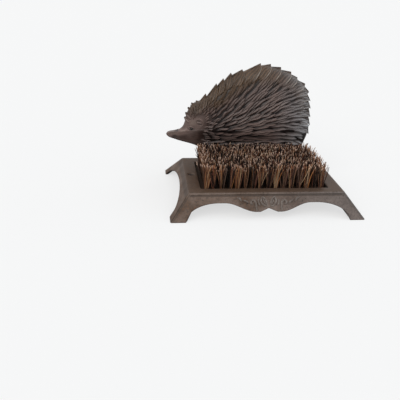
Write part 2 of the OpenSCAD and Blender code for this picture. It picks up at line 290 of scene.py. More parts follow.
ironLook = {
    "grey": (0.172, 0.124, 0.100),
    "brown": (0.068, 0.038, 0.022),
    "rust": (0.120, 0.056, 0.030),
    "coolLight": (0.135, 0.118, 0.113), "coolFrom": -0.05, "coolTo": 0.12, "coolMost": 0.6,
    "worn": (0.180, 0.160, 0.145),
    "pitAndShade": (0.020, 0.015, 0.012),
    "topShade": 0.85, "dirtAndShadeMost": 0.9, "noises": (38, 330, 900), "specular": 0.3,
}


def castIronMaterial():
    look = ironLook
    material, graph, shader, where = newMaterial("castIron", look["specular"])
    patches, specks, grain = ironNoises(graph, where, look["noises"])
    colour = graph.ramp(patches, [(0.34, look["brown"]), (0.66, look["grey"])])
    rusty = graph.math("MULTIPLY", graph.spread(specks, 0.52, 0.75), graph.spread(patches, 0.62, 0.36))
    colour = graph.tinted(rusty, colour, look["rust"])

    # painted cool light towards the right, and painted shade that browns and darkens the faces turned upwards
    coolLit = graph.spread(graph.axis("X", where), look["coolFrom"], look["coolTo"], 0.0, look["coolMost"])
    colour = graph.tinted(coolLit, colour, look["coolLight"])
    upward = graph.axis("Z", graph.put("ShaderNodeNewGeometry").outputs["Normal"])
    colour = graph.tinted(graph.spread(upward, 0.75, 1.0, 0.0, look["topShade"]), colour, look["brown"])

    # rubbed arrises, speckle, pits, and dirt with painted shade in the groove, the hollows and the holes
    rubbedAndLit = graph.math("MULTIPLY", graph.attribute("worn"), graph.spread(specks, 0.35, 0.7))
    colour = graph.tinted(rubbedAndLit, colour, look["worn"])
    colour = graph.vector("SCALE", colour, graph.spread(specks, 0.3, 0.7, 0.72, 1.32))
    dirtAndShade = graph.spread(graph.attribute("dirtAndShade"), 0.0, 1.0, 0.0, look["dirtAndShadeMost"])
    pitsAndShade = graph.math("MAXIMUM", graph.spread(specks, 0.40, 0.28), dirtAndShade)
    colour = graph.tinted(pitsAndShade, colour, look["pitAndShade"])
    bumps = [(patches, 0.25, 0.0012), (specks, 0.35, 0.0006), (grain, 0.35, 0.00025)]
    graph.coat(shader, colour, graph.spread(specks, 0.3, 0.75, 0.48, 0.68), bumps)
    return material


coatLook = {
    "groove": (0.008, 0.005, 0.005),
    "flank": (0.048, 0.028, 0.023),
    "ridge": (0.158, 0.106, 0.092),
    "coolLight": (0.235, 0.243, 0.255), "coolFrom": 0.03, "coolTo": 0.1,
    "crest": (0.070, 0.040, 0.021),
    "edge": (0.300, 0.250, 0.210),
    "dark": (0.012, 0.009, 0.008),
    "noises": (45, 380, 1000), "specular": 0.4,
}


def hedgehogMaterial():
    look = coatLook
    material, graph, shader, where = newMaterial("hedgehogIron", look["specular"])
    patches, specks, grain = ironNoises(graph, where, look["noises"])
    names = ("lift", "crest", "edge", "dark", "streak")
    lift, crest, edge, dark, streak = (graph.attribute(name) for name in names)
    # darker in the hollows and lighter on the ridges: partly the casting's own dark hollows and rubbed
    # ridges, partly painted shade in the hollows and painted highlight on the ridges
    colour = graph.ramp(lift, [(0.14, look["groove"]), (0.62, look["flank"]), (1.0, look["ridge"])])

    # painted cool highlight on the rump's ridges, and painted warm light in a browner band along the crest
    across = graph.spread(graph.axis("X", where), look["coolFrom"], look["coolTo"])
    coolLit = graph.math("MULTIPLY", across, graph.spread(lift, 0.4, 1.0))
    colour = graph.tinted(coolLit, colour, look["coolLight"])
    litBand = graph.math("MULTIPLY", crest, graph.spread(lift, 0.05, 0.4))
    colour = graph.tinted(litBand, colour, look["crest"])

    # patches, painted light and shade along the flutes of the blades, rust, painted highlights on the blades'
    # rear edges and the face's lit places, and dark places: painted shade in the face's creases, and the eyes
    uneven = graph.spread(patches, 0.3, 0.7, 0.72, 1.22)
    uneven = graph.math("MULTIPLY", uneven, graph.spread(streak, -1.0, 1.0, 0.55, 1.45))
    colour = graph.vector("SCALE", colour, uneven)
    colour = graph.tinted(graph.spread(specks, 0.60, 0.80, 0.0, 0.45), colour, ironLook["rust"])
    colour = graph.tinted(graph.spread(edge, 0.3, 1.0, 0.0, 0.8), colour, look["edge"])
    colour = graph.tinted(dark, colour, look["dark"])
    bumps = [(specks, 0.25, 0.0005), (grain, 0.3, 0.0002)]
    graph.coat(shader, colour, graph.spread(specks, 0.3, 0.75, 0.34, 0.55), bumps)
    return material


fibreLook = {
    "tones": (
        (0.34, (0.006, 0.004, 0.003)), (0.48, (0.050, 0.024, 0.016)), (0.57, (0.165, 0.060, 0.036)),
        (0.67, (0.172, 0.110, 0.080)), (0.80, (0.380, 0.150, 0.052)), (0.95, (0.420, 0.285, 0.175)),
    ),
    "tip": (0.94, 0.67, 0.53), "tipFrom": 0.89, "tipTo": 0.98,
    "tipShares": ((0.58, 0.0), (0.64, 0.95), (0.71, 0.95), (0.76, 0.1), (0.95, 0.4)),
    "frontFrom": -0.048, "frontTo": -0.043, "frontLight": (0.0, 0.8, 0.85, 1.2),
    "innerLight": (0.6, 1.0, 0.22, 0.85), "noise": 700, "specular": 0.25,
}


def fibreMaterial():
    look = fibreLook
    material, graph, shader, where = newMaterial("fibre", look["specular"])
    tone, along = graph.attribute("tone"), graph.attribute("along")
    colour = graph.ramp(tone, look["tones"])

    # light reaches down the front row, and only the upper ends of the fibres behind it
    behind = graph.spread(graph.axis("Y", where), look["frontFrom"], look["frontTo"])
    front, inner = graph.spread(along, *look["frontLight"]), graph.spread(along, *look["innerLight"])
    colour = graph.vector("SCALE", colour, graph.mixed(behind, front, inner))

    # fibres of a middling tone have the palest tips
    tip = graph.spread(along, look["tipFrom"], look["tipTo"])
    tip = graph.math("MULTIPLY", tip, graph.ramp(tone, look["tipShares"]))
    colour = graph.tinted(tip, colour, look["tip"])
    flecks = graph.noise(where, look["noise"], 3)
    graph.coat(shader, colour, graph.spread(flecks, 0.3, 0.7, 0.5, 0.75), [(flecks, 0.3, 0.0003)])
    return material


# very dark grain colours: the block is darkened as painted shade, where it sits deep among the bristles
woodLook = {
    "dark": (0.014, 0.008, 0.005), "light": (0.045, 0.026, 0.016), "rings": (0.020, 0.011, 0.006),
    "stretch": (1, 9, 9), "noise": 45, "ringScale": 14, "ringBend": 6, "ringShare": 0.45, "specular": 0.15,
}


def woodMaterial():
    look = woodLook
    material, graph, shader, where = newMaterial("brushWood", look["specular"])
    stretched = graph.out("ShaderNodeMapping", {"Vector": where, "Scale": look["stretch"]})
    figure = graph.noise(stretched, look["noise"], 8, 0.65)
    sockets = {"Vector": stretched, "Scale": look["ringScale"], "Distortion": look["ringBend"], "Detail": 3}
    rings = graph.put("ShaderNodeTexWave", sockets, bands_direction="Y").outputs["Fac"]
    colour = graph.ramp(figure, [(0.3, look["dark"]), (0.7, look["light"])])
    colour = graph.tinted(graph.spread(rings, 0, 1, 0.0, look["ringShare"]), colour, look["rings"])
    graph.coat(shader, colour, graph.spread(figure, 0.3, 0.7, 0.6, 0.8), [(figure, 0.4, 0.0005)])
    return material


steelLook = {
    "dark": (0.20, 0.19, 0.175), "light": (0.42, 0.41, 0.39), "rust": (0.15, 0.07, 0.035),
    "noise": 260, "rustNoise": 600, "rustShare": 0.6, "metallic": 0.85,
}


def steelMaterial():
    look = steelLook
    material, graph, shader, where = newMaterial("zincSteel")
    shader.inputs["Metallic"].default_value = look["metallic"]
    patches = graph.noise(where, look["noise"])
    colour = graph.ramp(patches, [(0.3, look["dark"]), (0.7, look["light"])])
    rusty = graph.spread(graph.noise(where, look["rustNoise"]), 0.60, 0.78, 0.0, look["rustShare"])
    colour = graph.tinted(rusty, colour, look["rust"])
    graph.coat(shader, colour, graph.spread(patches, 0.3, 0.7, 0.32, 0.55), [(patches, 0.15, 0.0003)])
    return material


castIron = castIronMaterial()
hedgehogIron = hedgehogMaterial()
fibreHair = fibreMaterial()
brushWood = woodMaterial()
zincSteel = steelMaterial()
print("materials made")


# Frame: one closed loft from the tray's floor, over the plate and apron, to the tray's underside

frameSet = {
    "plateX": 127, "plateY": 77, "plateThick": 5, "wall": 5.5,
    "footFront": 25, "footSide": 21, "archHigh": 23.4, "archIn": 70, "archOut": 79,
    "lobeHigh": 12, "lobeX": 19, "notchHigh": 16.7, "notchX": 14, "sideArch": 24.7,
    "openGap": 1, "trayWall": 3.5, "trayFloor": 4, "trayFillet": ((-0.4, 0.4), (0, 1.5)), "trayEdge": 1,
    "floorInsets": (40, 20, 6, 1.5), "underInsets": (6, 20, 40), "wallFrom": 4, "wallSteps": 5,
    "hipRound": 3.0, "openRound": 2.5, "openGrow": 0.3, "openDrop": 0.45, "arrisRound": 1.5,
    "lowRound": 1.1, "lowShare": 0.3, "lowFlat": 0.2,
    "grooveDrop": 3.6, "grooveWide": 3.0, "grooveDeep": 1.3, "grooveLip": 0.35, "grooveEnds": (0.965, 1.0),
    "lobeSteps": 40, "topSteps": 5, "fallSteps": 26, "footSteps": 9,
    "sideSteps": 34, "sideFootSteps": 8, "cornerSteps": 6, "slopeSteps": 13,
    "worn": 0.28, "wornArris": (0.8, 2.2), "wornRim": (0.4, 1.6), "wornBelow": (2, 1),
    "grooveDirtAndShade": 0.5, "hipShade": 0.6, "beneathShade": 0.75, "recessShade": 0.7, "boreShade": 1.0,
    "smoothAngle": 40,
}


class FrameLoft:
    # a column of points for each place round the frame, and the rings that join them
    def __init__(self, size):
        blockLow, blockHigh = boxMm("brush_block")
        self.size = size
        self.footX, self.footY, self.top = boxMm("base_frame")[1]
        self.under = self.top - size["plateThick"]
        self.flareX = (self.footX - size["plateX"]) / self.top
        self.flareY = (self.footY - size["plateY"]) / self.top
        self.openX = blockHigh[0] + size["openGap"]
        self.openFront = blockLow[1] - size["openGap"]
        self.openRear = blockHigh[1] + size["openGap"]
        self.openY = (self.openRear - self.openFront) / 2
        self.middle = (self.openRear + self.openFront) / 2
        self.trayTop = blockLow[2]
        self.trayUnder = self.trayTop - size["trayFloor"]
        self.makeColumns()
        self.sideHalf = np.where(self.isEnd, size["plateY"], size["plateX"])
        self.topRun = self.share * (self.sideHalf - size["hipRound"])

    def frontEdge(self, x, foot):
        # height of the lower edge: a notched pendant in the middle, then an arch that falls to the foot
        size = self.size
        arch, lobe = size["archHigh"], size["lobeHigh"]
        if x >= size["archOut"]:
            share = (x - size["archOut"]) / (foot - size["archOut"])
            return arch * math.sqrt(max(0, 1 - share ** 2))
        if x >= size["archIn"]:
            return arch
        if x >= size["lobeX"]:
            share = (x - size["lobeX"]) / (size["archIn"] - size["lobeX"])
            return lobe + (arch - lobe) * (1 - math.cos(math.pi * share)) / 2
        if x >= size["notchX"]:
            return lobe
        return size["notchHigh"] - (size["notchHigh"] - lobe) * x / size["notchX"]

    def frontHalf(self):
        # runs from the middle of the front to its hip, and the lower edge there
        size = self.size
        foot = self.footX - size["footFront"]
        turn = np.linspace(0, math.pi / 2, size["fallSteps"])
        run = np.concatenate([
            np.linspace(0, size["archIn"], size["lobeSteps"]),
            np.linspace(size["archIn"], size["archOut"], size["topSteps"])[1:],
            size["archOut"] + (foot - size["archOut"]) * np.sin(turn)[1:],
            np.linspace(foot, self.footX - size["hipRound"], size["footSteps"])[1:],
        ])
        return run, np.array([self.frontEdge(x, foot) for x in run])

    def endHalf(self):
        # the same for an end of the frame, which has one arch
        size = self.size
        foot = self.footY - size["footSide"]
        turn = np.linspace(0, math.pi / 2, size["sideSteps"])
        beyond = np.linspace(foot, self.footY - size["hipRound"], size["sideFootSteps"])[1:]
        run = np.concatenate([foot * np.sin(turn), beyond])
        arch = size["sideArch"] * np.sqrt(np.clip(1 - (run / foot) ** 2, 0, 1))
        return run, np.where(run < foot, arch, 0)

    def makeColumns(self):
        # the four sides, each followed by its corner, with the run, the share of the side and the lower edge
        front, end = self.frontHalf(), self.endHalf()
        sides = [((1, 0), (0, -1), *front, 0), ((0, 1), (1, 0), *end, 1),
                 ((-1, 0), (0, 1), *front, 0), ((0, -1), (-1, 0), *end, 1)]
        corner = np.radians(np.linspace(0, 90, self.size["cornerSteps"]))[1:-1]
        columns = []
        for index, (along, normal, run, low, isEnd) in enumerate(sides):
            length = np.concatenate([[0], np.cumsum(np.hypot(np.diff(run), np.diff(low)))])
            share = length / length[-1]
            fullRun = np.concatenate([-run[:0:-1], run])
            fullShare = np.concatenate([-share[:0:-1], share])
            fullLow = np.concatenate([low[:0:-1], low])
            for r, s, z in zip(fullRun, fullShare, fullLow):
                columns.append((*along, *normal, r, s, z, 0, 0, 0, isEnd))
            after = sides[(index + 1) % 4][1]
            for angle in corner:
                way = np.array(normal) * math.cos(angle) + np.array(after) * math.sin(angle)
                columns.append((0, 0, 0, 0, 0, 0, 0, *way, 1, 1 - isEnd))
        table = np.array(columns)
        self.along, self.normal = table[:, 0:2], table[:, 2:4]
        self.run, self.share, self.low = table[:, 4], table[:, 5], table[:, 6]
        self.way, self.isCorner, self.isEnd = table[:, 7:9], table[:, 9] > 0, table[:, 10] > 0

    def ring(self, halfX, halfY, z, run, radius, middleY=0):
        # points at these half sizes, with each side column at its run along the side
        halfX, halfY, z = (np.broadcast_to(np.asarray(v, float), self.run.shape) for v in (halfX, halfY, z))
        half = np.stack([halfX, halfY], 1)
        flat = self.along * run[:, None] + self.normal * half
        bent = np.sign(self.way) * (half - radius) + self.way * radius
        place = np.where(self.isCorner[:, None], bent, flat)
        return np.column_stack([place[:, 0], place[:, 1] + middleY, z])

    def opening(self, grow, z, radius):
        half = np.where(self.isEnd, self.openY, self.openX) + grow
        run = self.share * (half - radius)
        return self.ring(self.openX + grow, self.openY + grow, z, run, radius, self.middle)

    def apron(self, z, inset, run):
        halfX = self.size["plateX"] + self.flareX * (self.top - z) - inset
        halfY = self.size["plateY"] + self.flareY * (self.top - z) - inset
        return self.ring(halfX, halfY, z, run, self.size["hipRound"])

    def slope(self, drop):
        # on the outside, this far below the plate but not below the rounded edge
        share = drop / (self.top - self.low)
        run = self.topRun + (self.run - self.topRun) * share
        return self.apron(np.maximum(self.top - drop, self.low + self.size["lowRound"]), 0, run)

    def sunk(self, depth):
        # depth inwards, square to the side that a column lies on
        return np.column_stack([-self.normal * depth[:, None], np.zeros(len(depth))])

    def innerRun(self):
        # the run along the inner face, drawn in at the feet
        size = self.size
        foot = np.where(self.isEnd, self.footY - size["footSide"], self.footX - size["footFront"])
        reach = np.where(self.isEnd, self.footY, self.footX) - size["hipRound"]
        run = np.abs(self.run)
        beyond = np.maximum(run - foot, 0) * (reach - size["wall"] - foot) / (reach - foot)
        return np.sign(self.run) * (np.minimum(run, foot) + beyond)

    def trayRings(self):
        # from the middle of the tray's floor up the wall of the opening to the plate
        size, floor, top = self.size, self.trayTop, self.top
        arris, openRound = size["arrisRound"], size["openRound"]
        rings = [self.opening(-inset, floor, openRound) for inset in size["floorInsets"]]
        rings += [self.opening(grow, floor + rise, openRound) for grow, rise in size["trayFillet"]]
        wall = np.linspace(floor + size["wallFrom"], top - arris, size["wallSteps"])
        rings += [self.opening(0, z, openRound) for z in wall]
        rings.append(self.opening(size["openGrow"], top - size["openDrop"], openRound + size["openGrow"]))
        rings.append(self.opening(arris, top, openRound + arris))
        return rings

    def plateRings(self, inner):
        # across the plate, then over its arris, a short bend onto the slope
        arris = self.size["arrisRound"]
        outer = self.apron(self.top, arris, self.topRun * (self.sideHalf - arris) / self.sideHalf)
        edge = self.apron(self.top, 0, self.topRun)
        start = self.slope(arris / math.hypot(1, self.flareY))
        rings = [inner + (outer - inner) * share for share in (0.2, 0.4, 0.6, 0.8, 1.0)]
        for t in (0.25, 0.5, 0.75, 1.0):
            rings.append(outer * (1 - t) ** 2 + edge * 2 * t * (1 - t) + start * t * t)
        return rings

    def slopeRings(self):
        # down the outside, with a groove under the arris along the front and the rear
        size = self.size
        lip, first = size["grooveLip"], size["grooveDrop"] - size["grooveWide"] / 2
        last = first + size["grooveWide"]
        faded = 1 - ease(np.abs(self.share), *size["grooveEnds"])
        deep = size["grooveDeep"] * np.where(self.isCorner | self.isEnd, 0, faded)
        steps = [(first, 0), (first + lip, 1), (size["grooveDrop"], 1.15), (last - lip, 1), (last, 0)]
        rings = [self.slope(drop) + self.sunk(depth * deep) for drop, depth in steps]
        for share in np.linspace(0, 1, size["slopeSteps"])[1:-1]:
            rings.append(self.slope(last + (self.top - self.low - last) * share))
        return rings

    def insideRings(self):
        # round the lower edge, up the inside and down the outside of the tray to its underside
        size, low, run, inRun = self.size, self.low, self.run, self.innerRun()
        wall, curve, flat = size["wall"], size["lowRound"], size["lowFlat"]
        bend = size["lowShare"] * curve
        rings = [
            self.apron(low + curve, 0, run),
            self.apron(low + bend, bend, run),
            self.apron(low, curve + flat, run * 0.75 + inRun * 0.25),
            self.apron(low, wall - curve - flat, run * 0.25 + inRun * 0.75),
            self.apron(low + bend, wall - bend, inRun),
        ]
        inHalf = self.sideHalf + np.where(self.isEnd, self.flareY, self.flareX) * size["plateThick"] - wall
        inTop = self.share * (inHalf - size["hipRound"])
        for share in (0.0, 0.25, 0.5, 0.75, 1.0):
            z = (low + curve) * (1 - share) + self.under * share
            rings.append(self.apron(z, wall, inRun * (1 - share) + inTop * share))
        tray, edge, under = size["trayWall"], size["trayEdge"], self.trayUnder
        for z in (self.under, (self.under + under) / 2, under + edge):
            rings.append(self.opening(tray, z, size["openRound"] + tray))
        rings.append(self.opening(tray - edge, under, size["openRound"] + tray))
        rings += [self.opening(-inset, under, size["openRound"]) for inset in size["underInsets"]]
        return rings


drillSet = {
    "fixAcross": 233, "fixRadius": 3.3, "sinkRadius": 6.3, "sinkSpare": 0.2, "drainRadius": 4, "drainIn": 8,
    "screwRadius": 2.3, "headRadius": 4, "boltRadius": 3.3, "spare": 1, "segments": 40,
}


def cone(work, x, y, lowZ, lowRadius, highZ, highRadius):
    middle = Matrix.Translation((x * mm, y * mm, (lowZ + highZ) / 2 * mm))
    bmesh.ops.create_cone(work, cap_ends=True, segments=drillSet["segments"], radius1=lowRadius * mm,
                          radius2=highRadius * mm, depth=(highZ - lowZ) * mm, matrix=middle)


def through(work, x, y, lowZ, highZ, radius):
    cone(work, x, y, lowZ - drillSet["spare"], radius, highZ + drillSet["spare"], radius)


def cut(thing, work):
    cutter = fromBmesh("cutter", work)
    modifier = thing.modifiers.new("holes", "BOOLEAN")
    modifier.object = cutter
    modifier.operation = "DIFFERENCE"
    modifier.solver = "EXACT"
    applied(thing)
    bpy.data.objects.remove(cutter)


def drill(thing, loft):
    # holes for fixing down, for the bolts and screws, and for draining
    size = drillSet
    screwLow, screwHigh = boxMm("block_screws")
    washerLow, washerHigh = boxMm("hedgehog_washers")
    head, inset = size["headRadius"], size["drainIn"]
    washer = (washerHigh[1] - washerLow[1]) / 2
    plate, tray = (loft.under, loft.top), (loft.trayUnder, loft.trayTop)
    work = bmesh.new()
    for side in (-1, 1):
        through(work, side * size["fixAcross"] / 2, 0, *plate, size["fixRadius"])
        for y in (loft.openFront + inset, loft.openRear - inset):
            through(work, side * (loft.openX - inset), y, *tray, size["drainRadius"])
        for y in (screwLow[1] + head, screwHigh[1] - head):
            through(work, side * (screwHigh[0] - head), y, *tray, size["screwRadius"])
    for x in (washerLow[0] + washer, washerHigh[0] - washer):
        through(work, x, washerLow[1] + washer, *plate, size["boltRadius"])
    cut(thing, work)

    # countersinks, cut after the holes that they widen
    sink = size["sinkRadius"] - size["fixRadius"]
    spare = size["sinkSpare"]
    work = bmesh.new()
    for side in (-1, 1):
        cone(work, side * size["fixAcross"] / 2, 0, loft.top - sink, size["fixRadius"],
             loft.top + spare, size["sinkRadius"] + spare)
    cut(thing, work)


def stainAndShadeFrame(thing, loft):
    # rubbed arrises, dirt and painted shade in the groove, and painted shade beside the hips, under the edge,
    # in the recess and in the holes
    size, top = loft.size, loft.top
    x, y, z = (pointsOf(thing) / mm).T
    hump = np.maximum(np.abs(x) - size["plateX"], np.abs(y) - size["plateY"])
    rim = np.maximum(np.abs(x) - loft.openX, np.abs(y - loft.middle) - loft.openY)
    worn = 1 - np.minimum(ease(np.abs(hump), *size["wornArris"]), ease(np.abs(rim), *size["wornRim"]))
    fadeFrom, fadeTo = size["wornBelow"]
    setAttribute(thing, "worn", size["worn"] * worn * ease(z, top - fadeFrom, top - fadeTo))

    # depths behind the outer faces of the ends and of the front and rear
    behindX = size["plateX"] + loft.flareX * (top - z) - np.abs(x)
    behindY = size["plateY"] + loft.flareY * (top - z) - np.abs(y)
    inset = np.minimum(behindX, behindY)
    # the groove is darkened by dirt and painted shade; beside the hips, beneath the apron, in the recess and
    # in the holes the darkening is painted shade
    groove = ease(behindY, 0.3, 1.2) * (np.abs(hump) < 6) * (z < top - 0.5)
    besideHip = (np.abs(behindX - size["hipRound"]) < 0.1) & (np.abs(behindY) < 0.3) & (z < top - 2)
    beneath = (inset > 0.2) & (inset < size["wall"] - 0.2) & (z < loft.under - 2)
    recess = (rim < 0.5) & (z > loft.trayTop - 0.5) & (z < top - 1)
    bore = np.hypot(np.abs(x) - drillSet["fixAcross"] / 2, y)
    inBore = (bore < drillSet["sinkRadius"] - 0.5) & (z > loft.under - 1)
    layers = [size["grooveDirtAndShade"] * groove, size["hipShade"] * besideHip, size["beneathShade"] * beneath,
              size["recessShade"] * recess, size["boreShade"] * inBore]
    setAttribute(thing, "dirtAndShade", np.max(layers, axis=0))


def makeFrame():
    loft = FrameLoft(frameSet)
    rings = loft.trayRings()
    rings += loft.plateRings(rings[-1])
    rings += loft.slopeRings()
    rings += loft.insideRings()
    count = len(loft.run)
    last = (len(rings) - 1) * count
    faces = [range(count), range(last + count - 1, last - 1, -1), *ringFaces(len(rings), count)]
    thing = meshObject("baseFrame", np.concatenate(rings) * mm, faces)
    outward(thing)
    drill(thing, loft)
    stainAndShadeFrame(thing, loft)
    return thing


base = makeFrame()

# Hedgehog: a smooth domed body, flat blades along the crest, combed locks on the flanks, and a face

# places on the figure are millimetres behind the nose and above the plate, as seen from the front
# each key of the outline has half the thickness there as its third number
outlineKeys = [
    (77, 0, 9.5), (66, 15, 8), (54, 28.5, 8), (18, 39.6, 6.5), (4, 44.8, 5), (0, 49.4, 3.5), (2, 53, 4),
    (7, 54, 4.4), (13, 54.2, 4.6), (20, 56, 5.2), (28.5, 63, 5), (32, 71, 4), (33.4, 78.5, 3.4),
    (35.4, 87, 2.6), (39.6, 96, 2), (44.8, 103.8, 1.5), (52, 107.6, 1.5), (57, 109, 1.5),
    (71, 118.5, 1.5), (100, 145, 1.5), (131, 160.5, 1.5), (163, 171.5, 1.5), (180, 169.5, 1.5),
    (213, 158.5, 1.5), (240, 138, 2), (252, 114, 2.5), (256, 90, 4), (257, 67, 6), (257, 50, 7),
    (252, 32, 8), (247, 0, 9.5),
]
bodySet = {
    "heart": (150, 75), "half": 26, "domePower": 3, "edgeStep": 2.0, "rimDepth": 5.5, "smoothAngle": 48,
    "splineSteps": 40, "fineStep": 0.5, "footSteps": 300, "leastShare": 0.05,
    "rings": 34, "firstRing": 0.08, "ringPower": 1.25, "rimRings": 5,
    "lengthShare": ((0, 0.2), (10, 0.34), (26, 0.56), (45, 0.76), (75, 0.92), (110, 1), (205, 1), (240, 0.9),
                    (257, 0.75)),
    "heightShare": ((0, 0.365), (40, 0.365), (50, 0.6), (60, 0.82), (78, 1), (171.5, 1)),
    "faceEdge": ((28, 58), (45, 57), (60, 57), (72, 62), (90, 60)), "faceLead": 3,
    "browLine": (57, 0.39), "browLead": 2, "faceFade": 7, "coatFade": 34, "coatInset": 0.7,
    "coatEnd": (0.93, 0.99),
}
figureLow, figureHigh = boxMm("hedgehog")
figurePlane = (figureLow[1] + figureHigh[1]) / 2


def figurePlace(x, z, offset):
    return np.stack([x + figureLow[0], figurePlane + offset, z + figureLow[2]], -1) * mm


def splinePoints(keys, steps):
    keys = np.array(keys, float)
    padded = np.concatenate([keys[:1], keys, keys[-1:]])
    points = []
    for i in range(len(keys) - 1):
        a, b, c, d = padded[i:i + 4]
        for t in np.arange(steps) / steps:
            square = (2 * a - 5 * b + 4 * c - d) * t ** 2
            cube = (3 * b - a - 3 * c + d) * t ** 3
            points.append((2 * b + (c - a) * t + square + cube) / 2)
    return np.array(points + [keys[-1]])


def evenly(points, step):
    length = np.concatenate([[0], np.cumsum(np.hypot(*np.diff(points[:, :2], axis=0).T))])
    spots = np.linspace(0, length[-1], int(length[-1] / step) + 1)
    return np.column_stack([np.interp(spots, length, points[:, k]) for k in range(points.shape[1])])


edgeLine = evenly(splinePoints(outlineKeys, bodySet["splineSteps"]), bodySet["fineStep"])
footLine = np.linspace(edgeLine[-1], edgeLine[0], bodySet["footSteps"])[1:-1]
heart = np.array(bodySet["heart"], float)
wholeEdge = np.concatenate([edgeLine, footLine])
edgeAngle = np.arctan2(wholeEdge[:, 1] - heart[1], wholeEdge[:, 0] - heart[0])
edgeOrder = np.argsort(edgeAngle)
wholeEdge, edgeAngle = wholeEdge[edgeOrder], edgeAngle[edgeOrder]
edgeReach = np.hypot(wholeEdge[:, 0] - heart[0], wholeEdge[:, 1] - heart[1])


def atEdge(x, z, values):
    # the outline's value straight away from the heart
    angle = np.arctan2(z - heart[1], x - heart[0])
    return np.interp(angle, edgeAngle, values, period=2 * math.pi)


def edgeShare(x, z):
    # nought at the heart and one on the outline
    return np.hypot(x - heart[0], z - heart[1]) / atEdge(x, z, edgeReach)


def roomToEdge(x, z):
    # millimetres to the outline, straight away from the heart
    share = edgeShare(x, z)
    return (1 - share) * np.hypot(x - heart[0], z - heart[1]) / np.maximum(share, bodySet["leastShare"])


def bodyHalf(x, z):
    edge = atEdge(x, z, wholeEdge[:, 2])
    full = bodySet["half"] * fromKeys(bodySet["lengthShare"], x) * fromKeys(bodySet["heightShare"], z)
    dome = np.sqrt(np.clip(1 - np.clip(edgeShare(x, z), 0, 1) ** bodySet["domePower"], 0, 1))
    return edge + (np.maximum(full, edge) - edge) * dome


def coatMask(x, z, fade):
    # one where locks grow, nought on the smooth face, with the forehead's locks above a slanting line
    border = fromKeys(bodySet["faceEdge"], z) - bodySet["faceLead"]
    brow, slant = bodySet["browLine"]
    lead = bodySet["browLead"]
    return np.maximum(ease(x, border, border + fade), ease(z - brow - slant * x, -lead, fade - lead))


# a place on the face has two numbers, and a spread of painted light, painted highlight or relief has its
# widths after them
faceSet = {
    "eye": (44.4, 62.2), "eyeLong": 3.1, "eyeHigh": 1.9, "eyeDeep": 1.6, "eyeTurn": 18,
    "eyeRound": 20, "eyeRings": 12,
    "socket": 1.2, "socketWide": (4.5, 3), "bulb": 1.0, "bulbAt": (4, 49, 5, 6),
    "cheek": 1.4, "cheekAt": (47, 50, 9, 8), "pinch": 1.0, "pinchX": 14.5, "pinchWide": 4,
    "ridge": 1.0, "ridgeLine": ((6, 51), (20, 53.5), (38, 61)), "ridgeWide": 2.6,
    "ridgeFrom": (14, 22), "ridgeTo": (34, 42),
    "creases": ((56.3, 77.7), (58.1, 71.9)), "creaseWide": (3.2, 1.1), "creaseHeight": 0.9,
    "lights": ((14, 53, 9, 3.2), (28.2, 56, 7, 3), (46, 74, 10, 8)), "light": 1.3,
    "shadeLine": ((0, 45), (20, 46), (34, 51), (48, 57), (64, 60)), "shadeFade": (-4, 5), "shade": 0.2,
    "rubbedAndLit": ((12, 52, 12, 5), (28, 57, 9, 5), (46, 74, 12, 10), (52, 96, 14, 12)), "highlight": 0.5,
}


def faceRelief(x, z):
    # a bulb at the nose with a pinch behind it, a ridge from there to the eye, an eye socket and a cheek
    face = faceSet
    relief = face["bulb"] * mound(x, z, *face["bulbAt"])
    relief = relief - face["pinch"] * np.exp(-((x - face["pinchX"]) / face["pinchWide"]) ** 2)
    relief -= face["socket"] * mound(x, z, *face["eye"], *face["socketWide"])
    ridge = np.exp(-((z - fromKeys(face["ridgeLine"], x)) / face["ridgeWide"]) ** 2)
    relief += face["ridge"] * ridge * ease(x, *face["ridgeFrom"]) * (1 - ease(x, *face["ridgeTo"]))
    relief += face["cheek"] * mound(x, z, *face["cheekAt"])
    return relief * (1 - coatMask(x, z, bodySet["faceFade"]))


def makeBody():
    # rings round the heart on each flank, with a rounded rim between them
    size = bodySet
    rim = np.concatenate([evenly(edgeLine, size["edgeStep"]), evenly(footLine, 2 * size["edgeStep"])])
    count = len(rim)
    isFoot = rim[:, 1] < 0.01
    ray = rim[:, :2] - heart
    depth = np.where(isFoot, 0, np.minimum(rim[:, 2], size["rimDepth"])) / np.hypot(*ray.T)
    rings = []
    for t in 1 - (1 - np.linspace(size["firstRing"], 1, size["rings"])) ** size["ringPower"]:
        rings.append((t * (1 - depth), np.ones(count)))
    for turn in np.linspace(0, 1, size["rimRings"] + 1)[1:] * math.pi / 2:
        rings.append((1 - depth * (1 - math.sin(turn)), np.where(isFoot, 1, math.cos(turn))))
    sheets = []
    for side in (-1, 1):
        for share, fade in rings:
            x, z = heart[0] + ray[:, 0] * share, heart[1] + ray[:, 1] * share
            inset = size["coatInset"] * coatMask(x, z, size["coatFade"]) * (1 - ease(share, *size["coatEnd"]))
            half = bodyHalf(x, z) - inset + faceRelief(x, z)
            sheets.append(figurePlace(x, z, side * half * fade))
    crown = float(bodyHalf(*heart)) - size["coatInset"]
    sheets.append(np.array([figurePlace(*heart, side * crown) for side in (-1, 1)]))
    total = len(rings) * count
    last = total - count
    faces = []
    for side in range(2):
        start = side * total
        faces += [(2 * total + side, start + i, start + (i + 1) % count) for i in range(count)]
        faces += ringFaces(len(rings), count, start)
    for i in range(count):
        j = (i + 1) % count
        faces.append((last + i, last + j, total + last + j, total + last + i))
    thing = meshObject("body", np.concatenate(sheets), faces)
    outward(thing, 1e-5)
    return thing


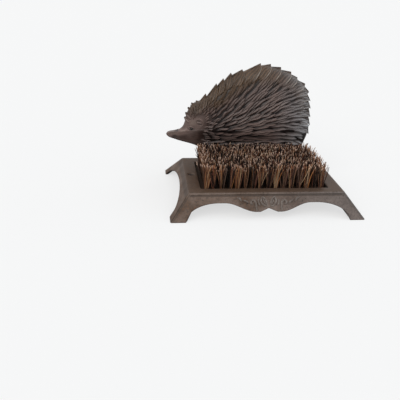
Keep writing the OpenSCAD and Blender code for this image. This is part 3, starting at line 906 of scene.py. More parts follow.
# each crest blade: its tip, the way its rear edge drops from there and runs on in degrees, and its length
bladeKeys = [
    (67.8, 122.4, 112, 76, 24), (85.7, 140, 112, 75, 26), (97.3, 148.8, 110, 74, 24),
    (109.8, 158.6, 112, 74, 26), (129, 164.4, 118, 64, 30), (160, 175.2, 92, 58, 36),
    (177.7, 174.2, 88, 50, 34), (196, 169.3, 82, 47, 33), (214.7, 162, 82, 42, 32),
    (227, 152.6, 64, 38, 27), (242.3, 142, 64, 22, 27), (251, 128.6, 46, 5, 26),
    (256.3, 111, -30, 6, 30), (258, 97.5, -36, 2, 30), (259.3, 82, -40, -4, 30),
    (260, 67.5, -44, -10, 28), (259.4, 51, -50, -18, 24),
]
bladeSet = {
    "before": (52, 108.6), "notch": 4.5, "notchShare": 0.2, "notchLeast": 0.8, "dropRun": 3.0, "bendRun": 11,
    "front": 0.2, "rear": 2.4, "rampPower": 1.6, "rim": 0.5, "rimAt": 0.95, "rimWide": 0.06,
    "sink": 1.6, "tipHalf": 1.2, "under": 30, "along": 15, "rowPower": 1.4, "across": 25,
    "leadBend": (-1, 3), "walkSteps": 160, "rise": (-0.1, 0.15), "sinkAt": (0.75, 1.0), "tipAt": (0.06, 0),
    "flute": 0.4, "fluteWide": 4.6, "fluteWave": 0.04, "fluteTurn": 5,
    "fluteFrom": (0.05, 0.3), "fluteTo": (0.8, 0.95),
    "frontHighlight": 0.4, "moreHighlight": 0.6, "highlightAt": (120, 165), "highlightAcross": (0.86, 0.97), "highlightDown": (0.5, 0.9),
}


def walkedBack(start, turns, runs):
    # goes back from a point through headings that change along the way, and gives the places at these runs
    fine = np.linspace(0, runs[-1], bladeSet["walkSteps"])
    way = np.radians(fromKeys(turns, fine))
    step = fine[1]
    x = start[0] - np.concatenate([[0], np.cumsum(np.cos(way[:-1]) * step)])
    z = start[1] - np.concatenate([[0], np.cumsum(np.sin(way[:-1]) * step)])
    return np.stack([np.interp(runs, fine, x), np.interp(runs, fine, z)], 1)


def twoSheetFaces(rows, across):
    # two sheets of the same grid, back to back, joined at their borders
    total = rows * across
    faces = []
    for i in range(rows - 1):
        for j in range(across - 1):
            a, d = i * across + j, (i + 1) * across + j
            faces += [(a, a + 1, d + 1, d), (total + d, total + d + 1, total + a + 1, total + a)]
    grid = np.arange(total).reshape(rows, across)
    border = [*grid[0], *grid[1:, -1], *grid[-1, -2::-1], *grid[-2:0:-1, 0]]
    faces += [(a, total + a, total + b, b) for a, b in zip(border, border[1:] + border[:1])]
    return faces


def makeBlade(before, key):
    # a sheet between the top edge, which turns down at the notch,
    # and the raised rear edge, which drops from the tip
    size = bladeSet
    tip, (drop, comb, length) = np.array(key[:2], float), key[2:]
    inward = heart - before
    deep = min(size["notch"], size["notchShare"] * np.hypot(*(tip - before)) + size["notchLeast"])
    notch = before + inward / np.hypot(*inward) * deep
    reach = np.hypot(*(tip - notch))
    level = math.degrees(math.atan2(*(tip - notch)[::-1]))
    share = np.linspace(0, 1, size["along"]) ** size["rowPower"]
    rear = walkedBack(tip, ((0, drop), (size["dropRun"], drop), (size["bendRun"], comb)), length * share)
    bendFrom, bendTo = size["leadBend"]
    turns = ((0, level), (reach + bendFrom, level), (reach + bendTo, comb))
    lead = walkedBack(tip, turns, (reach + size["under"]) * share)
    q = np.linspace(0, 1, size["across"])[None, :]  # from the top edge to the rear edge
    r = share[:, None]  # from the tip to the root
    place = lead[:, None] + (rear - lead)[:, None] * q[..., None]
    x, z = place[..., 0], place[..., 1]

    # thicker towards the rear edge, with flutes and a rim, and sunk into the body at the root
    flutes = max(2, round(np.hypot(*(rear - lead)[size["along"] // 2]) / size["fluteWide"]))
    wave = q + size["fluteWave"] * np.sin(size["fluteTurn"] * r + tip[0])
    streak = np.cos(2 * math.pi * flutes * wave) * ease(r, *size["fluteFrom"])
    ramped = size["front"] + (size["rear"] - size["front"]) * q ** size["rampPower"]
    ramped = ramped + size["rim"] * np.exp(-((q - size["rimAt"]) / size["rimWide"]) ** 2)
    ramped = ramped + size["flute"] * streak * (1 - ease(q, *size["fluteTo"]))
    ramped = ramped * ease(r, *size["rise"]) - (size["rear"] + size["sink"]) * ease(r, *size["sinkAt"]) ** 2
    half = np.maximum(bodyHalf(x, z) + ramped, size["tipHalf"])
    near = ease(r, *size["tipAt"])
    half = half * (1 - near) + size["tipHalf"] * near
    sheets = [figurePlace(x, z, side * half).reshape(-1, 3) for side in (-1, 1)]
    thing = meshObject("blade", np.concatenate(sheets), twoSheetFaces(*x.shape))
    # painted highlight along the raised rear edge of each blade, stronger on the blades further back
    highlight = size["frontHighlight"] + size["moreHighlight"] * float(ease(tip[0], *size["highlightAt"]))
    rim = ease(q, *size["highlightAcross"]) * (1 - ease(r, *size["highlightDown"])) * highlight
    for name, values in (("edge", rim), ("streak", streak)):
        setAttribute(thing, name, np.tile(np.broadcast_to(values, x.shape).ravel(), 2))
    outward(thing, 1e-5)
    return thing


# the way the locks are combed at places on the flank, in degrees above level
combKeys = [
    (40, 95, 92), (50, 102, 82), (62, 98, 70), (70, 115, 68), (72, 88, 50), (78, 74, 28), (74, 58, 6),
    (72, 45, 2), (100, 140, 66), (135, 155, 62), (165, 165, 56), (195, 158, 45), (225, 140, 25),
    (245, 115, 2), (252, 85, -14), (250, 55, -28), (100, 100, 50), (140, 110, 48), (180, 110, 35),
    (215, 100, 13), (120, 65, 20), (160, 65, 12), (200, 60, 2), (235, 55, -12), (110, 45, 8),
    (160, 45, 2), (210, 42, -6), (90, 20, 4), (200, 20, -4),
]
lockSet = {
    "seed": 11, "tries": 9000, "passes": (1, 0.72), "first": 34, "last": 258, "lowest": 3, "highest": 168,
    "rootShare": 0.95, "borderWide": 20, "borderLuck": (0.15, 0.7), "across": 4.6, "along": 13.0,
    "steps": 11, "length": 34, "lengthVary": 8, "shortest": 0.34, "grownBy": 0.66, "grownAt": (58, 115),
    "swing": 14, "swingMore": 0.8, "swingAt": (65, 115), "swingStep": 0.95, "turn": 7, "combBlend": 60,
    "girth": 3.25, "rootSunk": 1.3, "tipLift": 1.8, "risePower": 0.8, "flat": 0.66, "sides": 4,
    "shape": ((0, 0.35), (0.2, 0.85), (0.5, 1), (0.8, 0.7), (1, 0.05)), "shrinks": (1, 0.75, 0.5),
    "shrinkPower": 0.8, "edgeRoom": 1, "footRoom": 1.5, "frontLowest": ((150, 29), (235, 12)),
    "crestRoom": 9, "crestHigh": (98, 114), "crestFrom": (54, 72), "crestTo": (232, 246),
    "crestLeast": 0.25, "crestMore": 0.75, "crestFull": (115, 165),
}
# how broad the locks are, and where along and up the flank that changes
growSet = {
    "broad": 0.95, "lowMore": 0.25, "lowFrom": (15, 40), "lowTo": (45, 80),
    "rumpMore": 0.4, "rumpAt": (185, 235), "rearMore": 0.3, "rearAt": (110, 200), "rearTo": (55, 95),
    "face": 0.55, "faceMore": 0.45, "faceTo": (50, 105),
}


def combAngle(x, z):
    keys = np.array(combKeys, float)
    weight = 1 / ((x - keys[:, 0]) ** 2 + (z - keys[:, 1]) ** 2 + lockSet["combBlend"]) ** 2
    way = np.radians(keys[:, 2])
    return math.atan2(float((weight * np.sin(way)).sum()), float((weight * np.cos(way)).sum()))


def lockScale(x, z):
    # locks are broad low down and on the rump, and slight beside the face
    size = growSet
    raised = ease(z, *size["lowFrom"])
    broad = size["broad"] + size["lowMore"] * (1 - ease(z, *size["lowTo"])) * raised
    broad = broad + size["rumpMore"] * ease(x, *size["rumpAt"])
    broad = broad + size["rearMore"] * ease(x, *size["rearAt"]) * (1 - ease(z, *size["rearTo"])) * raised
    return broad * (size["face"] + size["faceMore"] * ease(x, *size["faceTo"]))


def lockPath(startX, startZ, length, swing, turn):
    # follows the comb, shorter where it would run into the crest, or nothing where it has no room
    size = lockSet
    widest = size["swing"] * (1 + size["swingMore"] * (1 - float(ease(startX, *size["swingAt"]))))
    for shrink in size["shrinks"]:
        path = [(startX, startZ)]
        step = length * shrink / (size["steps"] - 1)
        for k in range(size["steps"] - 1):
            x, z = path[-1]
            wave = widest * swing * math.sin(size["swingStep"] * k)
            angle = combAngle(x, z) + math.radians(wave + size["turn"] * turn)
            path.append((x + math.cos(angle) * step, z + math.sin(angle) * step))
        x, z = np.array(path).T
        crest = ease(z, *size["crestHigh"]) * ease(x, *size["crestFrom"]) * (1 - ease(x, *size["crestTo"]))
        crest = crest * (size["crestLeast"] + size["crestMore"] * ease(x, *size["crestFull"]))
        clear = roomToEdge(x, z) > size["edgeRoom"] + size["crestRoom"] * crest
        if np.all(clear) and z.min() > size["footRoom"]:
            return x, z, shrink
    return None


def hasRoom(x, z, angle, scale, roots):
    # true if no other root is near, in a metric that is long with the comb and short across it
    others = np.array(roots)
    gap = others[:, :2] - (x, z)
    room = (scale + others[:, 2]) / 2
    forth = gap[:, 0] * math.cos(angle) + gap[:, 1] * math.sin(angle)
    over = gap[:, 1] * math.cos(angle) - gap[:, 0] * math.sin(angle)
    return np.min((forth / (lockSet["along"] * room)) ** 2 + (over / (lockSet["across"] * room)) ** 2) >= 1


def scatterLocks():
    # roots spread evenly, then slighter ones between them
    size = lockSet
    rng = np.random.default_rng(size["seed"])
    roots, paths = [], []
    for slight in size["passes"]:
        placesX = rng.uniform(size["first"], size["last"], size["tries"])
        placesZ = rng.uniform(size["lowest"], size["highest"], size["tries"])
        for x, z in zip(placesX, placesZ):
            if edgeShare(x, z) > size["rootShare"]:
                continue
            if coatMask(x, z, size["borderWide"]) < rng.uniform(*size["borderLuck"]):
                continue
            scale = float(lockScale(x, z)) * slight
            if roots and not hasRoom(x, z, combAngle(x, z), scale, roots):
                continue
            grown = size["shortest"] + size["grownBy"] * float(ease(x, *size["grownAt"]))
            length = (size["length"] + size["lengthVary"] * rng.uniform(-1, 1)) * grown
            path = lockPath(x, z, length, rng.uniform(-1, 1), rng.uniform(-1, 1))
            if path:
                roots.append((x, z, scale))
                paths.append((*path, scale))
    return paths


def surfaceNormal(x, z, side):
    step = 0.8
    slopeX = (bodyHalf(x + step, z) - bodyHalf(x - step, z)) / (2 * step)
    slopeZ = (bodyHalf(x, z + step) - bodyHalf(x, z - step)) / (2 * step)
    normal = np.stack([-slopeX, np.full_like(slopeX, side), -slopeZ], -1)
    return normal / np.linalg.norm(normal, axis=-1, keepdims=True)


def onFlank(x, z, height, side):
    normal = surfaceNormal(x, z, side)
    return figurePlace(x, z, side * bodyHalf(x, z)) + normal * (height * mm)[:, None], normal


def lockLines():
    size = lockSet
    t = np.linspace(0, 1, size["steps"])
    height = -size["rootSunk"] + (size["rootSunk"] + size["tipLift"]) * t ** size["risePower"]
    lines = []
    for x, z, shrink, scale in scatterLocks():
        girth = size["girth"] * scale * shrink ** size["shrinkPower"] * fromKeys(size["shape"], t) * mm
        for side in (-1, 1):
            if side > 0 or z[0] > fromKeys(size["frontLowest"], x[0]):
                lines.append((*onFlank(x, z, height, side), girth))
    return lines


# small raised lines of the face: places, girth and height
featureKeys = [
    (((37.5, 63.6), (40.5, 66.0), (45, 65.6), (49, 63.2)), 1.2, 0.3),
    (((40, 60.4), (44.5, 59.2), (48.5, 60.6)), 0.7, 0.1),
    (((52.5, 75.2), (56.5, 75.1), (61, 73.8)), 1.6, 0.6),
    (((36.5, 64.6), (39, 64.0), (41, 62.6)), 1.5, 0.3),
    (((40.5, 73), (36, 76), (32.2, 79.8)), 2.4, 0.3),
    (((42.5, 80), (38, 83.4), (33.8, 88.2)), 2.2, 0.3),
    (((44.5, 89), (41, 93.5), (37.6, 97.4)), 2.0, 0.3),
    (((50, 97), (46.6, 101.6), (43.6, 105.6)), 2.0, 0.3),
    (((56, 101), (53.8, 105.6), (51.8, 109.4)), 2.0, 0.3),
    (((51, 73.6), (52.6, 79), (57, 80.8), (62, 78.6), (64, 73.4), (61.6, 69.4), (57, 69.0)), 1.1, 0.1),
]
featureSet = {"steps": 4, "ends": (0.12, 0.88), "power": 0.6}


def tapered(count, size):
    # girth along a line, slight at both ends
    return np.sin(np.linspace(*size["ends"], count) * math.pi) ** size["power"]


def featureLines():
    lines = []
    for keys, girth, height in featureKeys:
        x, z = splinePoints(keys, featureSet["steps"]).T
        for side in (-1, 1):
            place = onFlank(x, z, np.full(len(x), height), side)
            lines.append((*place, girth * tapered(len(x), featureSet) * mm))
    return lines


def guideObject(name, lines):
    # one open line of points for each lock, with its way up and its girth stored on the points
    points, ups, girths, edges = [], [], [], []
    for place, up, girth in lines:
        start = len(points)
        points.extend(place)
        ups.extend(up)
        girths.extend(girth)
        edges.extend((start + k, start + k + 1) for k in range(len(place) - 1))
    thing = meshObject(name, points, [], edges)
    layer = thing.data.attributes.new("up", "FLOAT_VECTOR", "POINT")
    layer.data.foreach_set("vector", np.array(ups, np.float32).ravel())
    setAttribute(thing, "girth", girths)
    print(name, len(lines), "lines")
    return thing


def newTree(name, inputs):
    tree = bpy.data.node_groups.new(name, "GeometryNodeTree")
    tree.interface.new_socket("Geometry", in_out="INPUT", socket_type="NodeSocketGeometry")
    for label, kind in inputs:
        tree.interface.new_socket(label, in_out="INPUT", socket_type="NodeSocket" + kind)
    tree.interface.new_socket("Geometry", in_out="OUTPUT", socket_type="NodeSocketGeometry")
    return NodeGraph(tree), tree.nodes.new("NodeGroupInput").outputs


def closeTree(graph, shape, material):
    realized = graph.out("GeometryNodeRealizeInstances", {"Geometry": shape})
    shaded = graph.out("GeometryNodeSetShadeSmooth", {"Geometry": realized})
    coated = graph.out("GeometryNodeSetMaterial", {"Geometry": shaded, "Material": material})
    graph.put("NodeGroupOutput", {"Geometry": coated})
    return graph.tree


def runTree(thing, tree, values):
    modifier = thing.modifiers.new(tree.name, "NODES")
    modifier.node_group = tree
    for item in tree.interface.items_tree:
        if item.in_out == "INPUT" and item.name in values:
            modifier[item.identifier] = values[item.name]
    return applied(thing)


def lockTree():
    # sweeps a flattened ring along each guide
    graph, given = newTree("combedLocks", [("Flatness", "Float"), ("Sides", "Int"), ("Material", "Material")])
    line = graph.out("GeometryNodeMeshToCurve", {"Mesh": given["Geometry"]})
    sockets = {"Curve": line, "Normal": graph.named("up", "FLOAT_VECTOR")}
    turned = graph.out("GeometryNodeSetCurveNormal", sockets, mode="FREE")
    ring = graph.out("GeometryNodeCurvePrimitiveCircle", {"Resolution": given["Sides"], "Radius": 1.0})
    squeeze = graph.combined(X=given["Flatness"], Y=1.0, Z=1.0)
    profile = graph.out("GeometryNodeTransform", {"Geometry": ring, "Scale": squeeze})
    sockets = {"Curve": turned, "Profile Curve": profile, "Scale": graph.named("girth"), "Fill Caps": True}
    return closeTree(graph, graph.out("GeometryNodeCurveToMesh", sockets), given["Material"])


def makeEyes():
    # a flattened ball in each socket
    things = []
    face = faceSet
    half = float(bodyHalf(*face["eye"])) - face["socket"]
    turn = Matrix.Rotation(math.radians(-face["eyeTurn"]), 4, "Y")
    shape = Matrix.Diagonal((face["eyeLong"] * mm, face["eyeDeep"] * mm, face["eyeHigh"] * mm, 1))
    for side in (-1, 1):
        work = bmesh.new()
        bmesh.ops.create_uvsphere(work, u_segments=face["eyeRound"], v_segments=face["eyeRings"], radius=1)
        eye = fromBmesh("eye", work)
        centre = Vector(figurePlace(*face["eye"], side * half))
        eye.data.transform(Matrix.Translation(centre) @ turn @ shape)
        setAttribute(eye, "dark", np.ones(len(eye.data.vertices)))
        things.append(eye)
    return things


toneSet = {
    "deepest": -1.4, "highest": 2.8, "rimShare": 0.955, "faceLift": 0.8, "faceSlope": 0.35, "faceLeast": 0.1,
    "litBand": 34, "bandFull": 0.4, "bandHigh": (70, 105), "bandRear": (150, 205), "bandRearLess": 0.6,
}


def faceLift(x, z, height):
    # how light the smooth face is, with lit places and a shaded lower part
    face = faceSet
    lift = toneSet["faceLift"] + toneSet["faceSlope"] * height
    for place in face["lights"]:
        lift = lift + face["light"] * mound(x, z, *place)
    shaded = 1 - ease(z - fromKeys(face["shadeLine"], x), *face["shadeFade"])
    return np.clip(np.minimum(lift, 1) - face["shade"] * shaded, toneSet["faceLeast"], 1)


def colourHedgehog(thing):
    # how high a point stands above the smooth body
    tone, face = toneSet, faceSet
    x, y, z = (pointsOf(thing) / mm).T
    x, z = x - figureLow[0], z - figureLow[2]
    height = np.abs(y - figurePlane) - bodyHalf(x, z)
    height = np.where(edgeShare(x, z) > tone["rimShare"], np.maximum(height, 0), height)
    lift = np.clip((height - tone["deepest"]) / (tone["highest"] - tone["deepest"]), 0, 1)
    coat = coatMask(x, z, bodySet["coatFade"])
    lift = lift * coat + faceLift(x, z, height) * (1 - coat)
    setAttribute(thing, "lift", lift)

    # how near it is to the crest, where a browner band is painted as warm light from above
    litBand = 1 - ease(roomToEdge(x, z), tone["bandFull"] * tone["litBand"], tone["litBand"])
    litBand = litBand * coat * ease(z, *tone["bandHigh"])
    setAttribute(thing, "crest", litBand * (1 - tone["bandRearLess"] * ease(x, *tone["bandRear"])))

    # painted highlights on the face's lit places, and painted shade in the face's creases
    edge, dark = attributeOf(thing, "edge"), attributeOf(thing, "dark")
    for place in face["rubbedAndLit"]:
        edge = np.maximum(edge, face["highlight"] * mound(x, z, *place) * ease(lift, 0.15, 0.6))
    for place in face["creases"]:
        dark = np.maximum(dark, mound(x, z, *place, *face["creaseWide"]) * (height < face["creaseHeight"]))
    setAttribute(thing, "edge", edge)
    setAttribute(thing, "dark", dark)


def makeHedgehog():
    body = makeBody()
    tips = [np.array(bladeSet["before"], float)] + [np.array(k[:2], float) for k in bladeKeys]
    blades = [makeBlade(before, key) for before, key in zip(tips, bladeKeys)]
    guides = guideObject("locks", lockLines() + featureLines())
    values = {"Flatness": lockSet["flat"], "Sides": lockSet["sides"], "Material": hedgehogIron}
    locks = runTree(guides, lockTree(), values)
    outward(locks)
    thing = joined([body, *blades, locks, *makeEyes()], "hedgehogFigure")
    colourHedgehog(thing)
    return thing


hedgehog = makeHedgehog()
smooth(hedgehog, bodySet["smoothAngle"])
dress(hedgehog, hedgehogIron)
finishPiece(hedgehog, "cast_iron", "hedgehog")
print("hedgehog made")

# Scrolls on the front and rear pendants, which are part of the frame's casting

# half of a pattern of leaves: distances from the middle and heights above the floor, each line with its girth
scrollSet = {
    "height": 0.6, "flat": 0.8, "sides": 8, "worn": 1.0, "steps": 6, "ends": (0.08, 0.92), "power": 0.5,
    "lines": (
        (((3.2, 19.2), (3.4, 24.5), (6.0, 29.0), (10.4, 31.6)), 1.5),
        (((3.2, 19.2), (9.0, 21.5), (12.2, 26.0), (10.4, 31.6)), 1.6),
        (((5.0, 21.6), (7.2, 25.4), (9.2, 29.0)), 1.3),
        (((20.2, 13.8), (20.2, 19), (21.2, 24), (24.4, 27.2), (28.0, 26.0), (28.4, 22.8), (25.6, 22.4)), 1.9),
        (((33.0, 23.4), (36.5, 26.2), (41.0, 27.4)), 1.5),
        (((43.5, 25.6), (46, 29.0), (50.5, 31.0)), 1.6),
        (((14.2, 20.4), (16.4, 23.6), (16.2, 28.4)), 1.4),
    ),
}


def scrollLines():
    # a leaf on each side of the middle, with a hooked stem and smaller leaves beside it
    size = scrollSet
    _, footY, top = boxMm("base_frame")[1]
    flare = (footY - frameSet["plateY"]) / top
    normal = np.array((0, -1, flare)) / math.hypot(1, flare)
    lines = []
    for mirror in (-1, 1):
        for keys, girth in size["lines"]:
            x, z = (splinePoints(keys, size["steps"]) * (mirror, 1)).T
            place = np.stack([x, -(frameSet["plateY"] + flare * (top - z)), z], 1) + normal * size["height"]
            for face in (1, -1):
                way = np.array((face, face, 1))
                up = np.tile(normal * way, (len(x), 1))
                lines.append((place * way * mm, up, girth * tapered(len(x), size) * mm))
    return lines


def makeScrolls():
    values = {"Flatness": scrollSet["flat"], "Sides": scrollSet["sides"], "Material": castIron}
    thing = runTree(guideObject("scrolls", scrollLines()), lockTree(), values)
    outward(thing)
    setAttribute(thing, "worn", np.full(len(thing.data.vertices), scrollSet["worn"]))
    return thing


base = joined([base, makeScrolls()], "baseFrame")
smooth(base, frameSet["smoothAngle"])
dress(base, castIron)
finishPiece(base, "cast_iron", "base_frame")
print("frame made")

# Brush: a wooden block and nine rows of bristle tufts

brushSet = {
    "columns": 16, "pitch": 12.8, "firstX": -96, "backing": 31, "stapleHalf": 0.3, "sunk": 1, "fibres": 27,
    "rootRadius": 2.9, "length": 44.5, "vary": 0.17, "splay": 0.075, "lean": 0.045, "ruffle": 0.09,
    "stray": 0.32, "strayPower": 14.0, "rearCalm": 0.4, "rearStray": 0.1, "seed": 5, "seedStep": 20,
    "thick": 0.68, "stout": (0.8, 1.3), "taper": 0.7, "bend": 3.4, "bendPower": 4.0, "points": 5, "sides": 3,
    "ownTone": 0.6, "tuftTone": 0.1, "clumpScale": 330.0, "clump": (0.39, 0.61, 0.0, 0.45),
    "brightFrom": 88, "brightTo": 98, "brightShare": 0.55, "brightTone": 0.8,
}
rowCount = sum(name.startswith("bristle_row_") for name in nodes)
tuftInputs = [
    ("Columns", "Int"), ("First", "Vector"), ("Pitch", "Vector"), ("Fibres", "Int"), ("Root Radius", "Float"),
    ("Length", "Float"), ("Vary", "Float"), ("Splay", "Float"), ("Lean", "Float"), ("Ruffle", "Float"),
    ("Stray", "Float"), ("Thickness", "Float"), ("Taper", "Float"), ("Bend", "Float"), ("Middle", "Float"),
    ("Bright From", "Float"), ("Bright To", "Float"), ("Seed", "Int"), ("Material", "Material"),
]


def tuftTree():
    size = brushSet
    graph, given = newTree("tuftRow", tuftInputs)
    level = (-1, -1, 0), (1, 1, 0)
    circle = 0.0, 2 * math.pi

    def chance(step, limits=(0.0, 1.0), index=None):
        return graph.random(*limits, graph.math("ADD", given["Seed"], float(step)), index)

    # one point for each tuft, with its own lean and tone, then one for each fibre
    sockets = {"Count": given["Columns"], "Start Location": given["First"], "Offset": given["Pitch"]}
    spots = graph.out("GeometryNodeMeshToPoints", {"Mesh": graph.out("GeometryNodeMeshLine", sockets)})
    spots = graph.store(spots, "tuftLean", chance(1, level), "FLOAT_VECTOR")
    spots = graph.store(spots, "tuftTone", chance(2))
    sockets = {"Geometry": spots, "Amount": given["Fibres"]}
    spots = graph.out("GeometryNodeDuplicateElements", sockets, domain="POINT")
    index = graph.out("GeometryNodeInputIndex")
    angle = chance(3, circle, index)
    way = graph.combined(X=graph.math("COSINE", angle), Y=graph.math("SINE", angle))
    outer = graph.vector("SCALE", way, graph.math("SQRT", chance(4, index=index)))
    sockets = {"Geometry": spots, "Offset": graph.vector("SCALE", outer, given["Root Radius"])}
    spots = graph.out("GeometryNodeSetPosition", sockets)

    # a fibre splays away from its tuft's middle, leans with its tuft, and now and then strays
    lean = graph.vector("SCALE", graph.named("tuftLean", "FLOAT_VECTOR"), given["Lean"])
    heading = graph.vector("ADD", graph.vector("SCALE", outer, given["Splay"]), lean)
    luck = graph.math("POWER", chance(6, index=index), size["strayPower"])
    loose = graph.math("ADD", given["Ruffle"], graph.math("MULTIPLY", luck, given["Stray"]))
    heading = graph.vector("ADD", heading, graph.vector("SCALE", chance(5, level, index), loose))
    heading = graph.vector("ADD", heading, (0, 0, 1))
    aligned = graph.out("FunctionNodeAlignRotationToVector", {"Vector": heading}, axis="Z")
    sockets = {"Axis": (0, 0, 1), "Angle": chance(7, circle, index)}
    spin = graph.out("FunctionNodeAxisAngleToRotation", sockets)
    turned = graph.out("FunctionNodeRotateRotation", {0: aligned, 1: spin}, rotation_space="LOCAL")
    shorter = graph.math("MULTIPLY", chance(8, (-1.0, 0.0), index), given["Vary"])
    stout = chance(9, size["stout"], index)
    scale = graph.combined(X=stout, Y=stout, Z=graph.math("ADD", 1.0, shorter))

    # one fibre: a bent three-sided taper
    stalk = graph.out("GeometryNodeCurvePrimitiveLine", {"End": graph.combined(Z=given["Length"])})
    stalk = graph.out("GeometryNodeResampleCurve", {"Curve": stalk, "Count": size["points"]})
    share = graph.put("GeometryNodeSplineParameter").outputs["Factor"]
    stalk = graph.store(stalk, "along", share)
    arc = graph.math("MULTIPLY", graph.math("POWER", share, size["bendPower"]), given["Bend"])
    stalk = graph.out("GeometryNodeSetPosition", {"Geometry": stalk, "Offset": graph.combined(X=arc)})
    sockets = {"Resolution": size["sides"], "Radius": given["Thickness"]}
    profile = graph.out("GeometryNodeCurvePrimitiveCircle", sockets)
    thin = graph.spread(graph.named("along"), 0.0, 1.0, 1.0, given["Taper"])
    sockets = {"Curve": stalk, "Profile Curve": profile, "Scale": thin, "Fill Caps": True}
    fibre = graph.out("GeometryNodeCurveToMesh", sockets)
    sockets = {"Points": spots, "Instance": fibre, "Rotation": turned, "Scale": scale}
    fibres = graph.out("GeometryNodeInstanceOnPoints", sockets)

    # its tone is its own, with some of its tuft's and its clump's, and brighter at the ends of the row
    position = graph.out("GeometryNodeInputPosition")
    clump = graph.spread(graph.noise(position, size["clumpScale"], 1.0, 0.5), *size["clump"])
    tone = graph.math("ADD", graph.math("MULTIPLY", chance(10, index=index), size["ownTone"]),
                      graph.math("MULTIPLY", graph.named("tuftTone"), size["tuftTone"]))
    tone = graph.math("ADD", tone, clump)
    away = graph.math("ABSOLUTE", graph.math("SUBTRACT", graph.axis("X", position), given["Middle"]))
    bright = graph.spread(away, given["Bright From"], given["Bright To"], 0.0, size["brightShare"])
    tone = graph.mixed(bright, tone, size["brightTone"])
    fibres = graph.store(fibres, "tone", tone, domain="INSTANCE")
    return closeTree(graph, fibres, given["Material"])


def rowMiddle(k):
    # a row's tufts stand over its staples
    low, high = boxMm("tuft_staples")
    first, last = low[1] + brushSet["stapleHalf"], high[1] - brushSet["stapleHalf"]
    return first + (last - first) * k / (rowCount - 1)


def makeBristles():
    size = brushSet
    tree = tuftTree()
    for k in range(rowCount):
        isLast = k == rowCount - 1
        calm = size["rearCalm"] if isLast else 1  # the last row stands close to the hedgehog
        calmStray = size["rearStray"] if isLast else 1
        thing = meshObject(f"bristleRow{k + 1}", [(0, 0, 0)], [])
        runTree(thing, tree, {
            "Columns": size["columns"], "Pitch": (size["pitch"] * mm, 0, 0),
            "First": (size["firstX"] * mm, rowMiddle(k) * mm, (size["backing"] - size["sunk"]) * mm),
            "Fibres": size["fibres"], "Root Radius": size["rootRadius"] * mm,
            "Length": (size["length"] + size["sunk"]) * mm, "Vary": size["vary"], "Splay": size["splay"],
            "Lean": size["lean"] * calm, "Ruffle": size["ruffle"] * calm, "Stray": size["stray"] * calmStray,
            "Thickness": size["thick"] * mm, "Taper": size["taper"], "Bend": size["bend"] * mm,
            "Middle": 0.0, "Bright From": size["brightFrom"] * mm, "Bright To": size["brightTo"] * mm,
            "Seed": size["seed"] + size["seedStep"] * k, "Material": fibreHair})
        outward(thing)
        dress(thing, fibreHair)
        finishPiece(thing, "bristle", f"bristle_row_{k + 1}")


makeBristles()
print("bristles made")

blockSet = {"round": 1.2, "bevelSteps": 3, "smoothAngle": 30}


def makeBrushBlock():
    # as high as the bristles' backing, because the rows' slices of wood are part of it here
    low, high = boxMm("brush_block")
    high[2] = brushSet["backing"]
    work = bmesh.new()
    bmesh.ops.create_cube(work, size=1)
    bmesh.ops.scale(work, vec=Vector(high - low), verts=work.verts)
    bmesh.ops.translate(work, vec=Vector((low + high) / 2), verts=work.verts)
    bmesh.ops.bevel(work, geom=work.edges, offset=blockSet["round"], segments=blockSet["bevelSteps"],
                    affect="EDGES", profile=0.5)
    bmesh.ops.scale(work, vec=(mm, mm, mm), verts=work.verts)
    return fromBmesh("brushBlock", work)


block = makeBrushBlock()
smooth(block, blockSet["smoothAngle"])
dress(block, brushWood)
finishPiece(block, "block_wood", "brush_block")
print("brush block made")

# Floor, light and camera

stageSet = {
    "floorSize": 40.0, "floorColour": (0.3, 0.3, 0.3), "floorGlow": 0.638, "bounceColour": (0.5, 0.5, 0.5),
    "skyColour": (0.913, 0.913, 0.913), "skyStrength": 0.5,
    "keyFrom": (-0.55, -0.75, 0.85), "keyStrength": 1.3, "keyAngle": 50, "keyColour": (1, 0.98, 0.95),
    "fillFrom": (0.85, 0.1, 0.7), "fillStrength": 1.1, "fillAngle": 60, "fillColour": (0.80, 0.92, 1),
}


def makeFloor():
    # pale where it is seen, plain where it sends light back, and clear from below
    half = stageSet["floorSize"] / 2
    corners = [(-half, -half, 0), (half, -half, 0), (half, half, 0), (-half, half, 0)]
    floor = meshObject("floor", corners, [(0, 1, 2, 3)])
    material = bpy.data.materials.new("paleFloor")
    graph = cleared(material)
    shown = graph.out("ShaderNodeBsdfDiffuse", {"Color": (*stageSet["floorColour"], 1)})
    glow = graph.out("ShaderNodeEmission", {"Color": (1, 1, 1, 1), "Strength": stageSet["floorGlow"]})
    bright = graph.out("ShaderNodeAddShader", {0: shown, 1: glow})
    bounce = graph.out("ShaderNodeBsdfDiffuse", {"Color": (*stageSet["bounceColour"], 1)})
    seen = graph.put("ShaderNodeLightPath").outputs["Is Camera Ray"]
    upper = graph.out("ShaderNodeMixShader", {0: seen, 1: bounce, 2: bright})
    below = graph.put("ShaderNodeNewGeometry").outputs["Backfacing"]
    clear = graph.out("ShaderNodeBsdfTransparent")
    both = graph.out("ShaderNodeMixShader", {0: below, 1: upper, 2: clear})
    graph.put("ShaderNodeOutputMaterial", {"Surface": both})
    dress(floor, material)


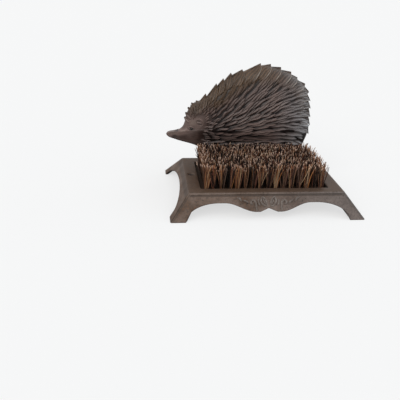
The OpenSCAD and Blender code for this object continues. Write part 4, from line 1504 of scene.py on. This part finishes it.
def makeSky():
    # pale where it is seen or mirrored, dimmer as a light
    world = bpy.data.worlds.new("studio")
    scene.world = world
    graph = cleared(world)
    path = graph.put("ShaderNodeLightPath").outputs
    seen = graph.math("MAXIMUM", path["Is Camera Ray"], path["Is Glossy Ray"])
    glow = graph.out("ShaderNodeBackground", {"Color": (1, 1, 1, 1), "Strength": stageSet["skyStrength"]})
    shown = graph.out("ShaderNodeBackground", {"Color": (*stageSet["skyColour"], 1), "Strength": 1.0})
    both = graph.out("ShaderNodeMixShader", {0: seen, 1: glow, 2: shown})
    graph.put("ShaderNodeOutputWorld", {"Surface": both})


def makeLamps():
    for name in ("key", "fill"):
        lamp = bpy.data.lights.new(name, "SUN")
        lamp.energy = stageSet[name + "Strength"]
        lamp.color = stageSet[name + "Colour"]
        lamp.angle = math.radians(stageSet[name + "Angle"])
        thing = linked(name, lamp)
        thing.rotation_mode = "QUATERNION"
        thing.rotation_quaternion = Vector(stageSet[name + "From"]).to_track_quat("Z", "Y")


cameraSet = {
    "place": (-0.1890, -0.7482, 0.3544), "yaw": 6.85, "pitch": 25.98, "roll": -2.32,
    "lens": 42.85, "sensor": 36,
}


def makeCamera():
    yaw, pitch, roll = (math.radians(cameraSet[k]) for k in ("yaw", "pitch", "roll"))
    ahead = Vector((math.sin(yaw) * math.cos(pitch), math.cos(yaw) * math.cos(pitch), -math.sin(pitch)))
    level = Vector((math.cos(yaw), -math.sin(yaw), 0))
    rise = level.cross(ahead)
    right = level * math.cos(roll) - rise * math.sin(roll)
    up = level * math.sin(roll) + rise * math.cos(roll)
    lens = bpy.data.cameras.new("photoCamera")
    lens.lens = cameraSet["lens"]
    lens.sensor_width = cameraSet["sensor"]
    thing = linked("photoCamera", lens)
    turn = Matrix((right, up, -ahead)).transposed().to_4x4()
    thing.matrix_world = Matrix.Translation(cameraSet["place"]) @ turn
    scene.camera = thing


makeFloor()
makeSky()
makeLamps()
makeCamera()
print("floor, light and camera made")

# the small steel pieces keep their own shapes
for name in ("tuft_staples", "block_screws", "hedgehog_bolts", "hedgehog_washers"):
    dress(nodes[name], zincSteel)
print("steel pieces dressed")
